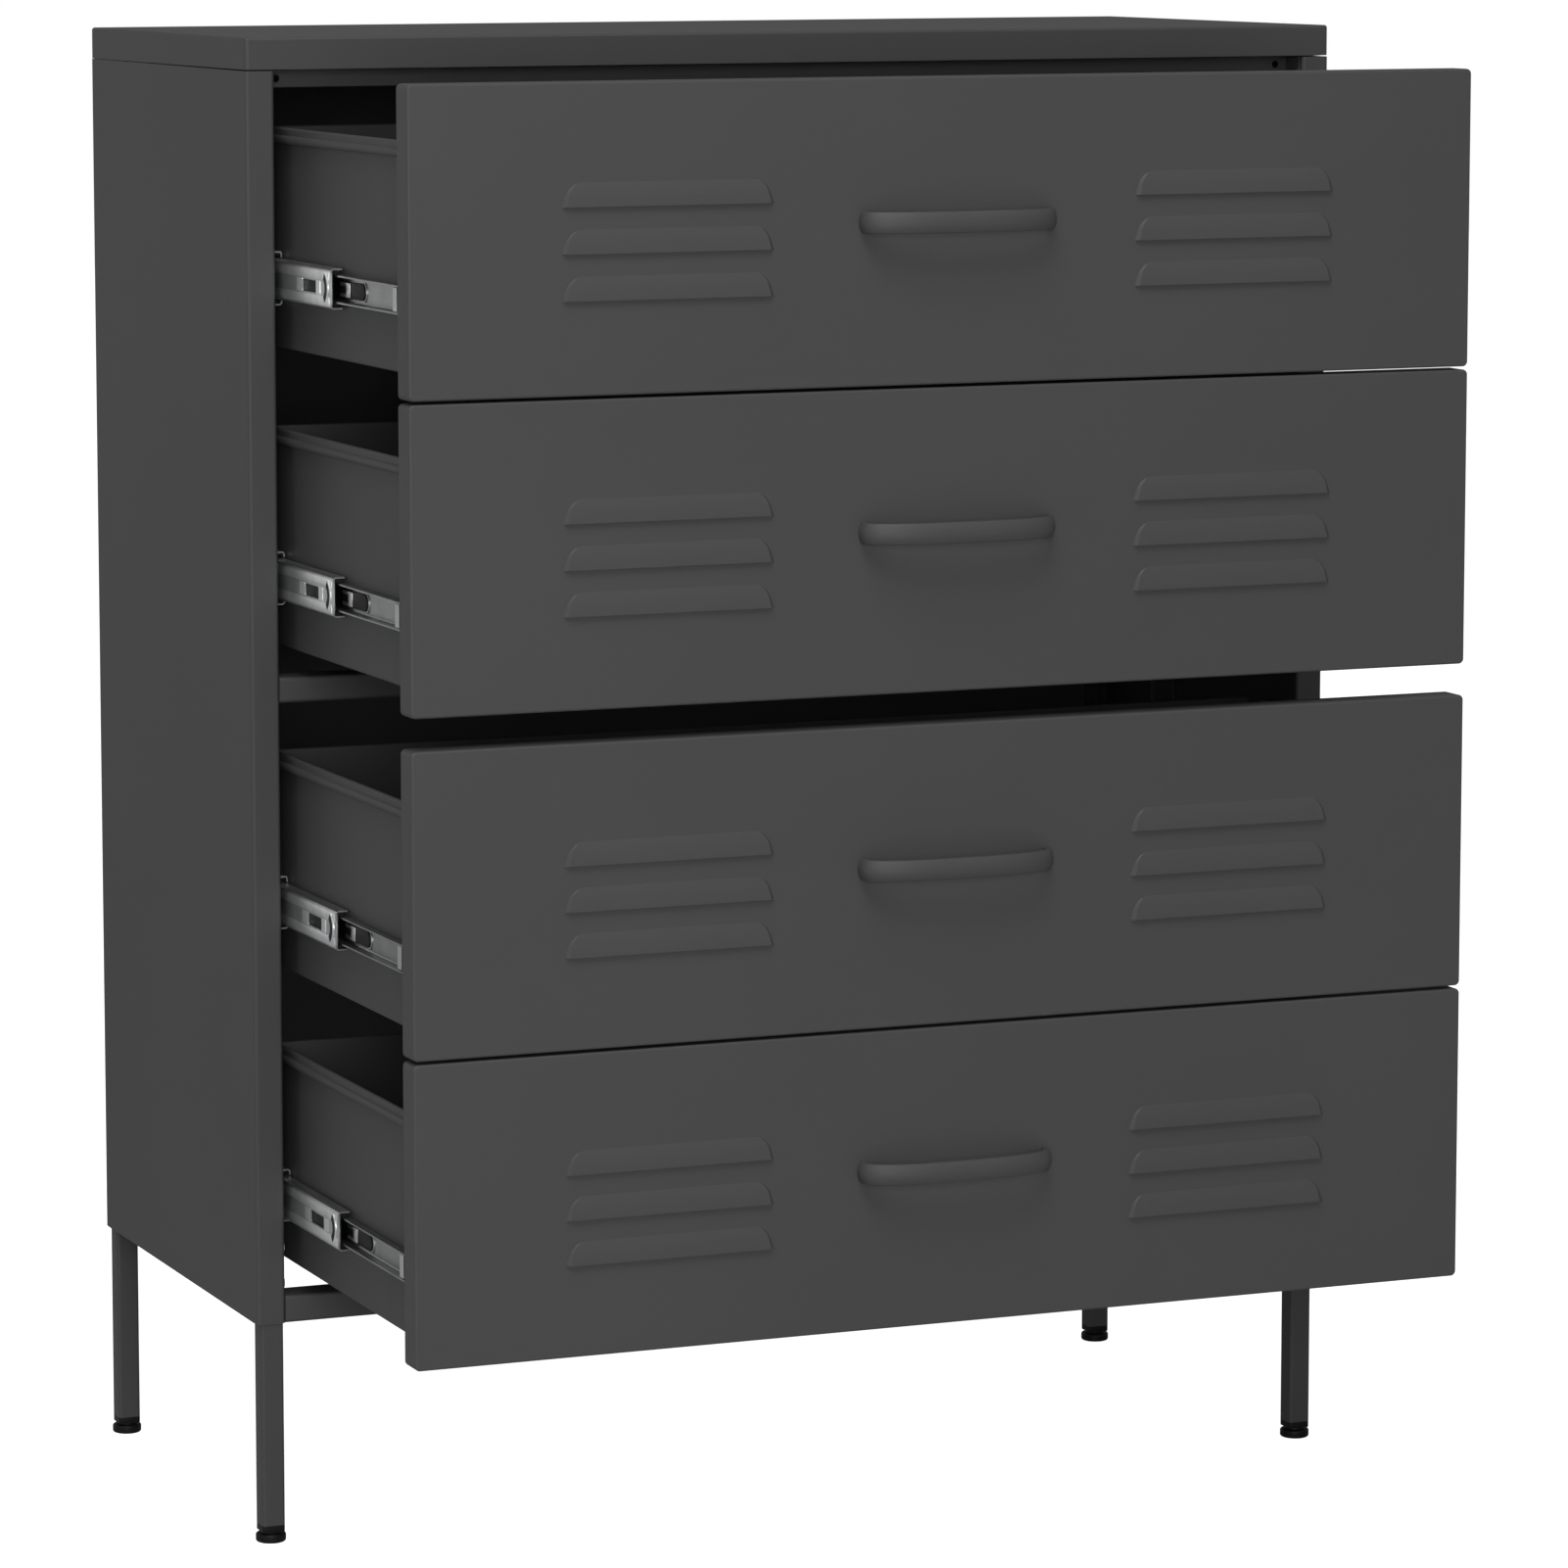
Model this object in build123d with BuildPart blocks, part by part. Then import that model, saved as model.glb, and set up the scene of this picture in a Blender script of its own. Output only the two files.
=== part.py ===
"""Steel drawer cabinet on short legs, drawn with its four drawers pulled out to their stops.

Millimetres, +Z up, X along the width, the fronts face -Y. The origin is the middle of the
bottom of the whole object with its drawers out, so the feet stand on Z = 0.
"""
import os

from build123d import *

os.makedirs("parts", exist_ok=True)

# Overall size of the closed cabinet
WIDTH = 800.0
DEPTH = 350.0
HEIGHT = 1015.0

# Folded body sheet
SHEET = 0.8
BEND_R = 2.0
TOP_LIP = 22.0
TOP_CORNER_R = 3.0
TOP_EDGE_R = 2.0
TOP_RETURN = 14.0
POST_WIDTH = 20.0
POST_DEPTH = 25.0
BODY_FLANGE = 15.0
BODY_BOTTOM = 151.5
SEAT_GAP = 0.2

# Rails between the corner posts
BOTTOM_RAIL_H = 18.5
MIDDLE_RAIL_H = 17.0
TOP_RAIL_DROP = 11.5
TOP_RAIL_FLANGE = 12.0
TOP_RAIL_TAB = 20.0
RAIL_DEPTH = 25.0
RAIL_HOLE_R = 2.5
RAIL_HOLE_INSET = 9.0

# Legs and feet
TUBE = 16.0
TUBE_WALL = 1.0
TUBE_R = 2.2
LEG_GRIP = 60.0
LEG_SCREW_RISE = 8.0
LEG_SCREW_PITCH = 24.0
FOOT_H = 12.0
FOOT_COLLAR = 4.5
FOOT_NECK_H = 1.5
FOOT_NECK_R = 6.5
FOOT_PAD_R = 10.4
FOOT_PAD_BEVEL = 1.4
FOOT_STUB = 14.0

# Drawers, from the bottom of the front panel
DRAWER_COUNT = 4
DRAWER_GAP = 2.0
FRONT_SIDE_GAP = 4.0
FRONT_DEPTH = 20.0
FRONT_SHEET = 0.8
FRONT_CORNER_R = 3.5
FRONT_EDGE_R = 1.6
FRONT_LIP = 24.0
TRAVEL = 250.0

# Tray of each drawer
TRAY_SHEET = 0.7
TRAY_LIFT = 15.5
TRAY_H = 147.0
TRAY_LENGTH = 282.0
HEM_DROP = 10.0
HEM_OUT = 2.6
HEM_R = 1.2
TRAY_SCREW_INSET = 7.0
TRAY_SCREW_HEIGHTS = (40.0, 110.0)
TRAY_SCREW_LENGTH = 5.0

# Pressed louvres: two groups of three on each front
LOUVRE_LENGTH = 145.0
LOUVRE_RISE = 15.5
LOUVRE_PROUD = 4.5
LOUVRE_PITCH = 29.7
LOUVRE_LOWEST = 60.3
LOUVRE_OFFSET = 200.4
LOUVRE_ROWS = 3
LOUVRE_CORNER_R = 9.0
LOUVRE_DRAFT = 30.0

# Bow handle
HANDLE_WIDTH = 140.0
HANDLE_FLAT = 84.0
HANDLE_PROUD = 24.0
HANDLE_TALL = 14.0
HANDLE_THICK = 5.0
HANDLE_CROWN = 3.0
HANDLE_BEND_R = 18.0
HANDLE_Z = 106.0
STUD_R = 1.6
STUD_LENGTH = 6.0
NUT_R = 3.4
NUT_H = 2.4

# Ball-bearing slides: an outer, a middle and an inner member in the gap beside each tray
SLIDE_GAP = 12.7
SLIDE_LENGTH = 250.0
SLIDE_SETBACK = 21.0
SLIDE_Z = 62.5
MEMBER_SHEET = 1.0
MEMBER_R = 1.6
OUTER_H = 36.0
OUTER_REACH = 11.4
OUTER_CURL = 3.5
MIDDLE_H = 26.5
MIDDLE_IN = 2.7
MIDDLE_REACH = 10.6
INNER_H = 18.3
INNER_IN = 5.2
CAGE_LENGTH = 118.0
CAGE_PLAY = 0.4
CAGE_STOP = 2.0
OUTER_CAGE_REACH = 10.0
INNER_CAGE_REACH = 10.6
DETENT_LENGTH = 28.0
DETENT_HEIGHT = 8.0
DETENT_SETBACK = 29.0
SLIDE_SCREW_INSET = 14.0

# Screws
SCREW_R = 2.0
SCREW_HEAD_R = 3.8
SCREW_HEAD_H = 1.6
SCREW_PLAY = 0.1
LEG_SCREW_LENGTH = 6.0
SLIDE_SCREW_LENGTH = 4.0

# Uprights that carry the rear ends of the slides
UPRIGHT_WEB = 38.0
UPRIGHT_FOOT = 11.0

# Back panel
BACK_FLANGE = 18.0
BACK_INSET = 1.2
WALL_HOLE_R = 3.0
WALL_HOLE_SPACING = 600.0
WALL_HOLE_DROP = 60.0

# Places worked out from the sizes
HALF_WIDTH = WIDTH / 2
OPENING = HALF_WIDTH - POST_WIDTH
LEG_X = OPENING + SHEET + SEAT_GAP + TUBE / 2
LEG_INSET_Y = SHEET + SEAT_GAP + TUBE / 2
FOOT_PROUD = max(FOOT_PAD_R - LEG_INSET_Y, 0)
OVERALL_Y = FOOT_PROUD + DEPTH + TRAVEL + HANDLE_PROUD
REAR_Y = OVERALL_Y / 2 - FOOT_PROUD
FRONT_Y = REAR_Y - DEPTH
FACE_Y = FRONT_Y - TRAVEL
LIP_Z = HEIGHT - TOP_LIP
BODY_H = LIP_Z - BODY_BOTTOM
BOTTOM_RAIL_Z = BODY_BOTTOM + BOTTOM_RAIL_H
MIDDLE_BAND = MIDDLE_RAIL_H + 2 * DRAWER_GAP
STACK_H = LIP_Z - BOTTOM_RAIL_Z - MIDDLE_BAND - DRAWER_COUNT * DRAWER_GAP
FRONT_H = STACK_H / DRAWER_COUNT
FRONT_WIDTH = 2 * (OPENING - FRONT_SIDE_GAP)
TRAY_HALF = OPENING - SLIDE_GAP
SLIDE_FRONT_Y = FRONT_Y + SLIDE_SETBACK
SIDES = {"left": -1, "right": 1}


def drawer_bottoms():
    """Height of the lower edge of each drawer front, from the top drawer down."""
    pitch = FRONT_H + DRAWER_GAP
    upper = [LIP_Z - DRAWER_GAP - FRONT_H - pitch * row for row in range(2)]
    lower = [BOTTOM_RAIL_Z + DRAWER_GAP + pitch * row for row in (1, 0)]
    return upper + lower


BOTTOMS = drawer_bottoms()
MIDDLE_RAIL_Z = BOTTOMS[1] - DRAWER_GAP - MIDDLE_RAIL_H


def save(part, name):
    """Label a finished piece and write it to its own file."""
    part.label = name
    export_step(part, f"parts/{name}.step")


def folded_strip(plane, points, radius, thickness, length):
    """A sheet folded along a line of points drawn on its middle surface, then drawn out."""
    with BuildPart() as strip:
        with BuildSketch(plane):
            with BuildLine():
                FilletPolyline(*points, radius=radius)
            trace(line_width=thickness)
        extrude(amount=length)
    return strip.part


def top_panel():
    """Top: a shallow pan, open below, with an inward flange round the foot of its lip."""
    with BuildPart() as pan:
        with BuildSketch(Plane.XY.offset(LIP_Z)):
            with Locations((0, REAR_Y - DEPTH / 2)):
                RectangleRounded(WIDTH, DEPTH, TOP_CORNER_R)
        extrude(amount=TOP_LIP)
        fillet(pan.faces().sort_by(Axis.Z)[-1].edges(), radius=TOP_EDGE_R)
        offset(amount=-SHEET, openings=pan.faces().sort_by(Axis.Z)[0])
        with BuildSketch(Plane.XY.offset(LIP_Z)):
            with Locations((0, REAR_Y - DEPTH / 2)):
                RectangleRounded(WIDTH, DEPTH, TOP_CORNER_R)
                Rectangle(WIDTH - 2 * TOP_RETURN, DEPTH - 2 * TOP_RETURN, mode=Mode.SUBTRACT)
        extrude(amount=SHEET)
    return pan.part


def side_panel(side):
    """Side wall folded into a corner post at the front and at the back."""
    post = OPENING + SHEET / 2
    wall = HALF_WIDTH - SHEET / 2
    outline = [
        (side * post, FRONT_Y + POST_DEPTH),
        (side * post, FRONT_Y + SHEET / 2),
        (side * wall, FRONT_Y + SHEET / 2),
        (side * wall, REAR_Y - SHEET / 2),
        (side * post, REAR_Y - SHEET / 2),
        (side * post, REAR_Y - POST_DEPTH),
    ]
    flange_x = side * (HALF_WIDTH - BODY_FLANGE / 2)
    flange_y = DEPTH - 2 * POST_DEPTH - 2 * BODY_FLANGE
    screw_x = side * (OPENING - SHEET)
    with BuildPart() as panel:
        add(folded_strip(Plane.XY.offset(BODY_BOTTOM), outline, BEND_R, SHEET, BODY_H))
        for z in (BODY_BOTTOM, LIP_Z - SHEET):
            with BuildSketch(Plane.XY.offset(z)):
                with Locations((flange_x, REAR_Y - DEPTH / 2)):
                    Rectangle(BODY_FLANGE, flange_y)
            extrude(amount=SHEET)
        hole_plane = Plane(origin=(screw_x, 0, 0), x_dir=(0, 1, 0), z_dir=(side, 0, 0))
        with BuildSketch(hole_plane):
            for y, z in leg_screw_places():
                with Locations((y, side * z)):
                    Circle(SCREW_R + SCREW_PLAY)
            for z in slide_heights():
                with Locations((SLIDE_FRONT_Y + SLIDE_SCREW_INSET, side * z)):
                    Circle(SCREW_R + SCREW_PLAY)
        extrude(amount=3 * SHEET, mode=Mode.SUBTRACT)
    return panel.part


def leg_screw_places():
    """Y and Z of the screws that hold the four legs in the corner posts."""
    front = FRONT_Y + LEG_INSET_Y
    rear = REAR_Y - LEG_INSET_Y
    low = BOTTOM_RAIL_Z + LEG_SCREW_RISE
    high = low + LEG_SCREW_PITCH
    return [(y, z) for y in (front, rear) for z in (low, high)]


def slide_heights():
    """Height of the middle line of each pair of slides."""
    return [bottom + SLIDE_Z for bottom in BOTTOMS]


def back_panel():
    """Back: a sheet between the rear posts, flanged forward against them, with two wall holes."""
    half = OPENING - SEAT_GAP - SHEET / 2
    back = REAR_Y - BACK_INSET - SHEET / 2
    outline = [
        (-half, back - BACK_FLANGE),
        (-half, back),
        (half, back),
        (half, back - BACK_FLANGE),
    ]
    with BuildPart() as panel:
        add(folded_strip(Plane.XY.offset(BODY_BOTTOM), outline, BEND_R, SHEET, BODY_H - SHEET))
        with BuildSketch(Plane.XZ.offset(-REAR_Y)):
            with Locations((0, LIP_Z - WALL_HOLE_DROP)):
                with GridLocations(WALL_HOLE_SPACING, 0, 2, 1):
                    Circle(WALL_HOLE_R)
        extrude(amount=2 * (BACK_INSET + SHEET), mode=Mode.SUBTRACT)
        with BuildSketch(Plane.YZ.offset(-OPENING)):
            with Locations(*[place for place in leg_screw_places() if place[0] > back - BACK_FLANGE]):
                Circle(SCREW_HEAD_R + SEAT_GAP)
        extrude(amount=2 * OPENING, mode=Mode.SUBTRACT)
    return panel.part


def top_rail():
    """Rail set back under the top lip, with a flange below the top and a tab at each end."""
    half = OPENING - SEAT_GAP
    web_y = FRONT_Y + POST_DEPTH - SHEET / 2
    under_top = HEIGHT - SHEET
    low = LIP_Z - TOP_RAIL_DROP
    outline = [
        (web_y, low),
        (web_y, under_top - SHEET / 2),
        (web_y + TOP_RAIL_FLANGE, under_top - SHEET / 2),
    ]
    start = Plane(origin=(-half, 0, 0), x_dir=(0, 1, 0), z_dir=(1, 0, 0))
    with BuildPart() as rail:
        add(folded_strip(start, outline, BEND_R, SHEET, 2 * half))
        for side in SIDES.values():
            with BuildSketch(Plane.XY.offset(low)):
                with Locations((side * (half - SHEET / 2), web_y - TOP_RAIL_TAB / 2)):
                    Rectangle(SHEET, TOP_RAIL_TAB + SHEET)
            extrude(amount=TOP_RAIL_DROP)
        with BuildSketch(Plane.XZ.offset(-web_y - SHEET)):
            with Locations((0, low + TOP_RAIL_DROP / 2)):
                with GridLocations(2 * (half - RAIL_HOLE_INSET), 0, 2, 1):
                    Circle(RAIL_HOLE_R)
        extrude(amount=2 * SHEET, mode=Mode.SUBTRACT)
    return rail.part


def channel_rail(low, height):
    """Cross rail: a channel open to the back, closed at each end where it meets a post."""
    half = OPENING - SEAT_GAP
    top = low + height
    outline = [
        (FRONT_Y + RAIL_DEPTH, top - SHEET / 2),
        (FRONT_Y + SHEET / 2, top - SHEET / 2),
        (FRONT_Y + SHEET / 2, low + SHEET / 2),
        (FRONT_Y + RAIL_DEPTH, low + SHEET / 2),
    ]
    start = Plane(origin=(-half, 0, 0), x_dir=(0, 1, 0), z_dir=(1, 0, 0))
    with BuildPart() as rail:
        add(folded_strip(start, outline, BEND_R, SHEET, 2 * half))
        for side in SIDES.values():
            with BuildSketch(Plane.XY.offset(low + SHEET / 2)):
                with Locations((side * (half - SHEET / 2), FRONT_Y + (RAIL_DEPTH + BEND_R) / 2)):
                    Rectangle(SHEET, RAIL_DEPTH - BEND_R)
            extrude(amount=height - SHEET)
    return rail.part


def slide_upright(side):
    """Upright channel on the side wall that carries the rear ends of the slides."""
    wall = side * (HALF_WIDTH - SHEET - SHEET / 2)
    face = side * (OPENING + SHEET / 2)
    rear = SLIDE_FRONT_Y + SLIDE_LENGTH
    front = rear - UPRIGHT_WEB
    outline = [
        (wall, front - UPRIGHT_FOOT),
        (wall, front),
        (face, front),
        (face, rear),
        (wall, rear),
        (wall, rear + UPRIGHT_FOOT),
    ]
    start = BODY_BOTTOM + SHEET
    hole_plane = Plane(origin=(side * (OPENING - SHEET), 0, 0), x_dir=(0, 1, 0), z_dir=(side, 0, 0))
    with BuildPart() as upright:
        add(folded_strip(Plane.XY.offset(start), outline, BEND_R, SHEET, BODY_H - 2 * SHEET))
        with BuildSketch(hole_plane):
            for z in slide_heights():
                with Locations((rear - SLIDE_SCREW_INSET, side * z)):
                    Circle(SCREW_R + SCREW_PLAY)
        extrude(amount=3 * SHEET, mode=Mode.SUBTRACT)
    return upright.part


def leg(side, y):
    """Square tube leg that stands inside the foot of a corner post."""
    hole_plane = Plane(origin=(side * OPENING, 0, 0), x_dir=(0, 1, 0), z_dir=(side, 0, 0))
    with BuildPart() as tube:
        with BuildSketch(Plane.XY.offset(FOOT_H)):
            with Locations((side * LEG_X, y)):
                RectangleRounded(TUBE, TUBE, TUBE_R)
                RectangleRounded(
                    TUBE - 2 * TUBE_WALL, TUBE - 2 * TUBE_WALL, TUBE_R - TUBE_WALL, mode=Mode.SUBTRACT
                )
        extrude(amount=BODY_BOTTOM + LEG_GRIP - FOOT_H)
        with BuildSketch(hole_plane):
            for screw_y, z in leg_screw_places():
                if abs(screw_y - y) < TUBE:
                    with Locations((screw_y, side * z)):
                        Circle(SCREW_R + SCREW_PLAY)
        extrude(amount=TUBE / 2, mode=Mode.SUBTRACT)
    return tube.part


def leg_places():
    """Name, side and Y of each leg."""
    rows = {"front": FRONT_Y + LEG_INSET_Y, "back": REAR_Y - LEG_INSET_Y}
    return [(f"leg_{row}_{name}", side, y) for row, y in rows.items() for name, side in SIDES.items()]


def feet():
    """Plastic glides: a stub in each leg, a square collar, a neck and a round pad."""
    pad_h = FOOT_H - FOOT_COLLAR - FOOT_NECK_H
    stub = TUBE - 2 * TUBE_WALL - 2 * SEAT_GAP
    centres = [(side * LEG_X, y) for _, side, y in leg_places()]
    with BuildPart() as glides:
        with BuildSketch():
            with Locations(*centres):
                Circle(FOOT_PAD_R)
        extrude(amount=pad_h)
        chamfer(glides.edges().filter_by(GeomType.CIRCLE), length=FOOT_PAD_BEVEL)
        with BuildSketch(Plane.XY.offset(pad_h)):
            with Locations(*centres):
                Circle(FOOT_NECK_R)
        extrude(amount=FOOT_NECK_H)
        with BuildSketch(Plane.XY.offset(pad_h + FOOT_NECK_H)):
            with Locations(*centres):
                RectangleRounded(TUBE, TUBE, TUBE_R)
        extrude(amount=FOOT_COLLAR)
        with BuildSketch(Plane.XY.offset(FOOT_H)):
            with Locations(*centres):
                RectangleRounded(stub, stub, TUBE_R - TUBE_WALL)
        extrude(amount=FOOT_STUB)
    return glides.part


def pan_screw(length):
    """Screw along +X: a low round head that ends at X = 0 and a shank beyond it."""
    with BuildPart() as screw:
        with BuildSketch(Plane.YZ):
            Circle(SCREW_HEAD_R)
        extrude(amount=-SCREW_HEAD_H)
        with BuildSketch(Plane.YZ):
            Circle(SCREW_R)
        extrude(amount=length)
    return screw.part


def flush_screw(length):
    """Countersunk screw along +X, its head flush with X = 0."""
    with BuildPart() as screw:
        with BuildSketch(Plane.XZ):
            with BuildLine():
                Polyline(
                    (0, 0),
                    (0, SCREW_HEAD_R),
                    (MEMBER_SHEET, SCREW_R),
                    (length, SCREW_R),
                    (length, 0),
                    close=True,
                )
            make_face()
        revolve(axis=Axis.X)
    return screw.part


def cabinet_screws():
    """Screws of the body: two in each leg and two in each fixed slide member."""
    leg_screw = pan_screw(LEG_SCREW_LENGTH)
    slide_screw = flush_screw(SLIDE_SCREW_LENGTH)
    ends = (SLIDE_FRONT_Y + SLIDE_SCREW_INSET, SLIDE_FRONT_Y + SLIDE_LENGTH - SLIDE_SCREW_INSET)
    with BuildPart() as screws:
        for side in SIDES.values():
            turn = 0 if side > 0 else 180
            for y, z in leg_screw_places():
                with Locations(Location((side * OPENING, y, z), (0, 0, turn))):
                    add(leg_screw)
            for y in ends:
                for z in slide_heights():
                    with Locations(Location((side * (OPENING - MEMBER_SHEET), y, z), (0, 0, turn))):
                        add(slide_screw)
    return screws.part


def member(side, front_y, z, points):
    """One slide member: a channel bent from strip, drawn back from its front end.

    The points are distances in from the post face and up from the slide's middle line.
    """
    outline = [(side * (OPENING - reach), z + rise) for reach, rise in points]
    start = Plane(origin=(0, front_y + SLIDE_LENGTH, 0), x_dir=(1, 0, 0), z_dir=(0, -1, 0))
    return folded_strip(start, outline, MEMBER_R, MEMBER_SHEET, SLIDE_LENGTH)


def outer_members(side):
    """The four fixed members of one side, their edges curled in round the ball tracks."""
    rim = OUTER_H / 2 - MEMBER_SHEET / 2
    tip = OUTER_REACH - MEMBER_SHEET / 2
    web = MEMBER_SHEET / 2
    points = [(tip, rim - OUTER_CURL), (tip, rim), (web, rim), (web, -rim), (tip, -rim), (tip, OUTER_CURL - rim)]
    ends = (SLIDE_FRONT_Y + SLIDE_SCREW_INSET, SLIDE_FRONT_Y + SLIDE_LENGTH - SLIDE_SCREW_INSET)
    with BuildPart() as members:
        for z in slide_heights():
            add(member(side, SLIDE_FRONT_Y, z, points))
            for y in ends:
                face = Plane(
                    origin=(side * (OPENING - MEMBER_SHEET), y, z), x_dir=(0, 1, 0), z_dir=(side, 0, 0)
                )
                with BuildSketch(face):
                    Circle(SCREW_HEAD_R + SCREW_PLAY)
                with BuildSketch(face.offset(MEMBER_SHEET)):
                    Circle(SCREW_R + SCREW_PLAY)
                loft(mode=Mode.SUBTRACT)
    return members.part


def middle_member(side, z):
    """The travelling member between the two ball cages, with the window of its detent."""
    front_y = SLIDE_FRONT_Y - TRAVEL / 2
    rim = MIDDLE_H / 2 - MEMBER_SHEET / 2
    web = MIDDLE_IN + MEMBER_SHEET / 2
    points = [(MIDDLE_REACH, rim), (web, rim), (web, -rim), (MIDDLE_REACH, -rim)]
    window = Plane(origin=(side * (OPENING - MIDDLE_IN), 0, z), x_dir=(0, 1, 0), z_dir=(-side, 0, 0))
    with BuildPart() as channel:
        add(member(side, front_y, z, points))
        with BuildSketch(window):
            with Locations((front_y + DETENT_SETBACK + DETENT_LENGTH / 2, 0)):
                RectangleRounded(DETENT_LENGTH, DETENT_HEIGHT, MEMBER_R)
        extrude(amount=2 * MEMBER_SHEET, mode=Mode.SUBTRACT)
    return channel.part


def inner_member(side, z):
    """The member screwed to the tray."""
    front_y = SLIDE_FRONT_Y - TRAVEL
    rim = INNER_H / 2 - MEMBER_SHEET / 2
    web = SLIDE_GAP - MEMBER_SHEET / 2
    tip = INNER_IN + MEMBER_SHEET / 2
    points = [(tip, rim), (web, rim), (web, -rim), (tip, -rim)]
    return member(side, front_y, z, points)


def cage(side, front_y, z, section):
    """One ball cage: a plastic channel whose two arms fill the tracks between two members.

    The section gives the depths of its web, bore and tip, and the heights inside and outside.
    """
    web, bore, tip, inside, outside = section
    start = Plane(origin=(0, front_y + CAGE_LENGTH, 0), x_dir=(1, 0, 0), z_dir=(0, -1, 0))
    with BuildPart() as retainer:
        with BuildSketch(start):
            with Locations((side * (OPENING - (web + tip) / 2), z)):
                Rectangle(tip - web, 2 * outside)
            with Locations((side * (OPENING - (bore + tip) / 2), z)):
                Rectangle(tip - bore, 2 * inside, mode=Mode.SUBTRACT)
        extrude(amount=CAGE_LENGTH)
    return retainer.part


def cage_pair(front_y, z, section):
    """The left and right cages of one drawer, which run together."""
    with BuildPart() as pair:
        for side in SIDES.values():
            add(cage(side, front_y + CAGE_STOP, z, section))
    return pair.part


def outer_cages(z):
    """Cages between the fixed and the middle members."""
    inside = MIDDLE_H / 2 + CAGE_PLAY
    outside = OUTER_H / 2 - MEMBER_SHEET - CAGE_PLAY
    section = (MEMBER_SHEET + CAGE_PLAY, MIDDLE_IN - CAGE_PLAY, OUTER_CAGE_REACH, inside, outside)
    return cage_pair(SLIDE_FRONT_Y, z, section)


def inner_cages(z):
    """Cages between the middle and the inner members."""
    inside = INNER_H / 2 + CAGE_PLAY
    outside = MIDDLE_H / 2 - MEMBER_SHEET - CAGE_PLAY
    web = MIDDLE_IN + MEMBER_SHEET + CAGE_PLAY
    section = (web, INNER_IN - CAGE_PLAY, INNER_CAGE_REACH, inside, outside)
    return cage_pair(SLIDE_FRONT_Y - TRAVEL / 2, z, section)


def louvre_form(inset):
    """One pressed louvre as a solid on the plane Y = 0, its mouth at Z = 0.

    Its section is an arc that leaves the mouth upright, and its ends slope in from the sheet.
    """
    proud = LOUVRE_PROUD - inset
    rise = LOUVRE_RISE - inset
    length = LOUVRE_LENGTH - 2 * inset
    section_plane = Plane(origin=(-length / 2, 0, 0), x_dir=(0, 1, 0), z_dir=(1, 0, 0))
    with BuildPart() as form:
        with BuildSketch(Plane.XZ):
            RectangleRounded(length, 2 * rise, LOUVRE_CORNER_R - inset)
        extrude(amount=LOUVRE_PROUD, taper=LOUVRE_DRAFT)
        with BuildSketch(section_plane):
            with BuildLine():
                mouth = Line((0, 0), (-proud, 0))
                crown = TangentArc(mouth @ 1, (0, rise), tangent=(0, 1))
                Line(crown @ 1, (0, 0))
            make_face()
        extrude(amount=length, mode=Mode.INTERSECT)
    return form.part


def louvre_void():
    """The hollow of a louvre, which also pierces the sheet behind it."""
    with BuildPart() as void:
        add(louvre_form(FRONT_SHEET))
        mirror(about=Plane.XZ)
    return void.part


def louvre_places():
    """The middle of the mouth of each louvre on a front."""
    columns = (-LOUVRE_OFFSET, LOUVRE_OFFSET)
    rows = [LOUVRE_LOWEST + LOUVRE_PITCH * row for row in range(LOUVRE_ROWS)]
    return [(x, 0, z) for x in columns for z in rows]


def tray_screw_places():
    """X and Z of the screws that join a tray to its front."""
    x = TRAY_HALF - TRAY_SCREW_INSET
    return [(side * x, TRAY_LIFT + z) for side in SIDES.values() for z in TRAY_SCREW_HEIGHTS]


def drawer_front():
    """Drawer front: a folded pan with a flange round its back, pressed louvres and fixing holes.

    Like every piece of a drawer it is drawn with the middle of its face's lower edge at the origin.
    """
    back = Plane.XZ.offset(FRONT_SHEET - FRONT_DEPTH)
    with BuildPart() as front:
        with BuildSketch(Plane.XZ):
            with Locations((0, FRONT_H / 2)):
                RectangleRounded(FRONT_WIDTH, FRONT_H, FRONT_CORNER_R)
        extrude(amount=-FRONT_DEPTH)
        fillet(front.faces().sort_by(Axis.Y)[0].edges(), radius=FRONT_EDGE_R)
        offset(amount=-FRONT_SHEET, openings=front.faces().sort_by(Axis.Y)[-1])
        with BuildSketch(back):
            with Locations((0, FRONT_H / 2)):
                RectangleRounded(FRONT_WIDTH, FRONT_H, FRONT_CORNER_R)
                Rectangle(FRONT_WIDTH - 2 * FRONT_LIP, FRONT_H - 2 * FRONT_LIP, mode=Mode.SUBTRACT)
            with Locations(*tray_screw_places()):
                Circle(SCREW_R + SCREW_PLAY, mode=Mode.SUBTRACT)
        extrude(amount=-FRONT_SHEET)
        with Locations(*louvre_places()):
            add(louvre_form(0))
        with Locations(*louvre_places()):
            add(louvre_void(), mode=Mode.SUBTRACT)
        with BuildSketch(Plane.XZ):
            with Locations((0, HANDLE_Z)):
                with GridLocations(HANDLE_WIDTH - HANDLE_THICK, 0, 2, 1):
                    Circle(STUD_R + SCREW_PLAY)
        extrude(amount=-2 * FRONT_SHEET, mode=Mode.SUBTRACT)
    return front.part


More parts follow.
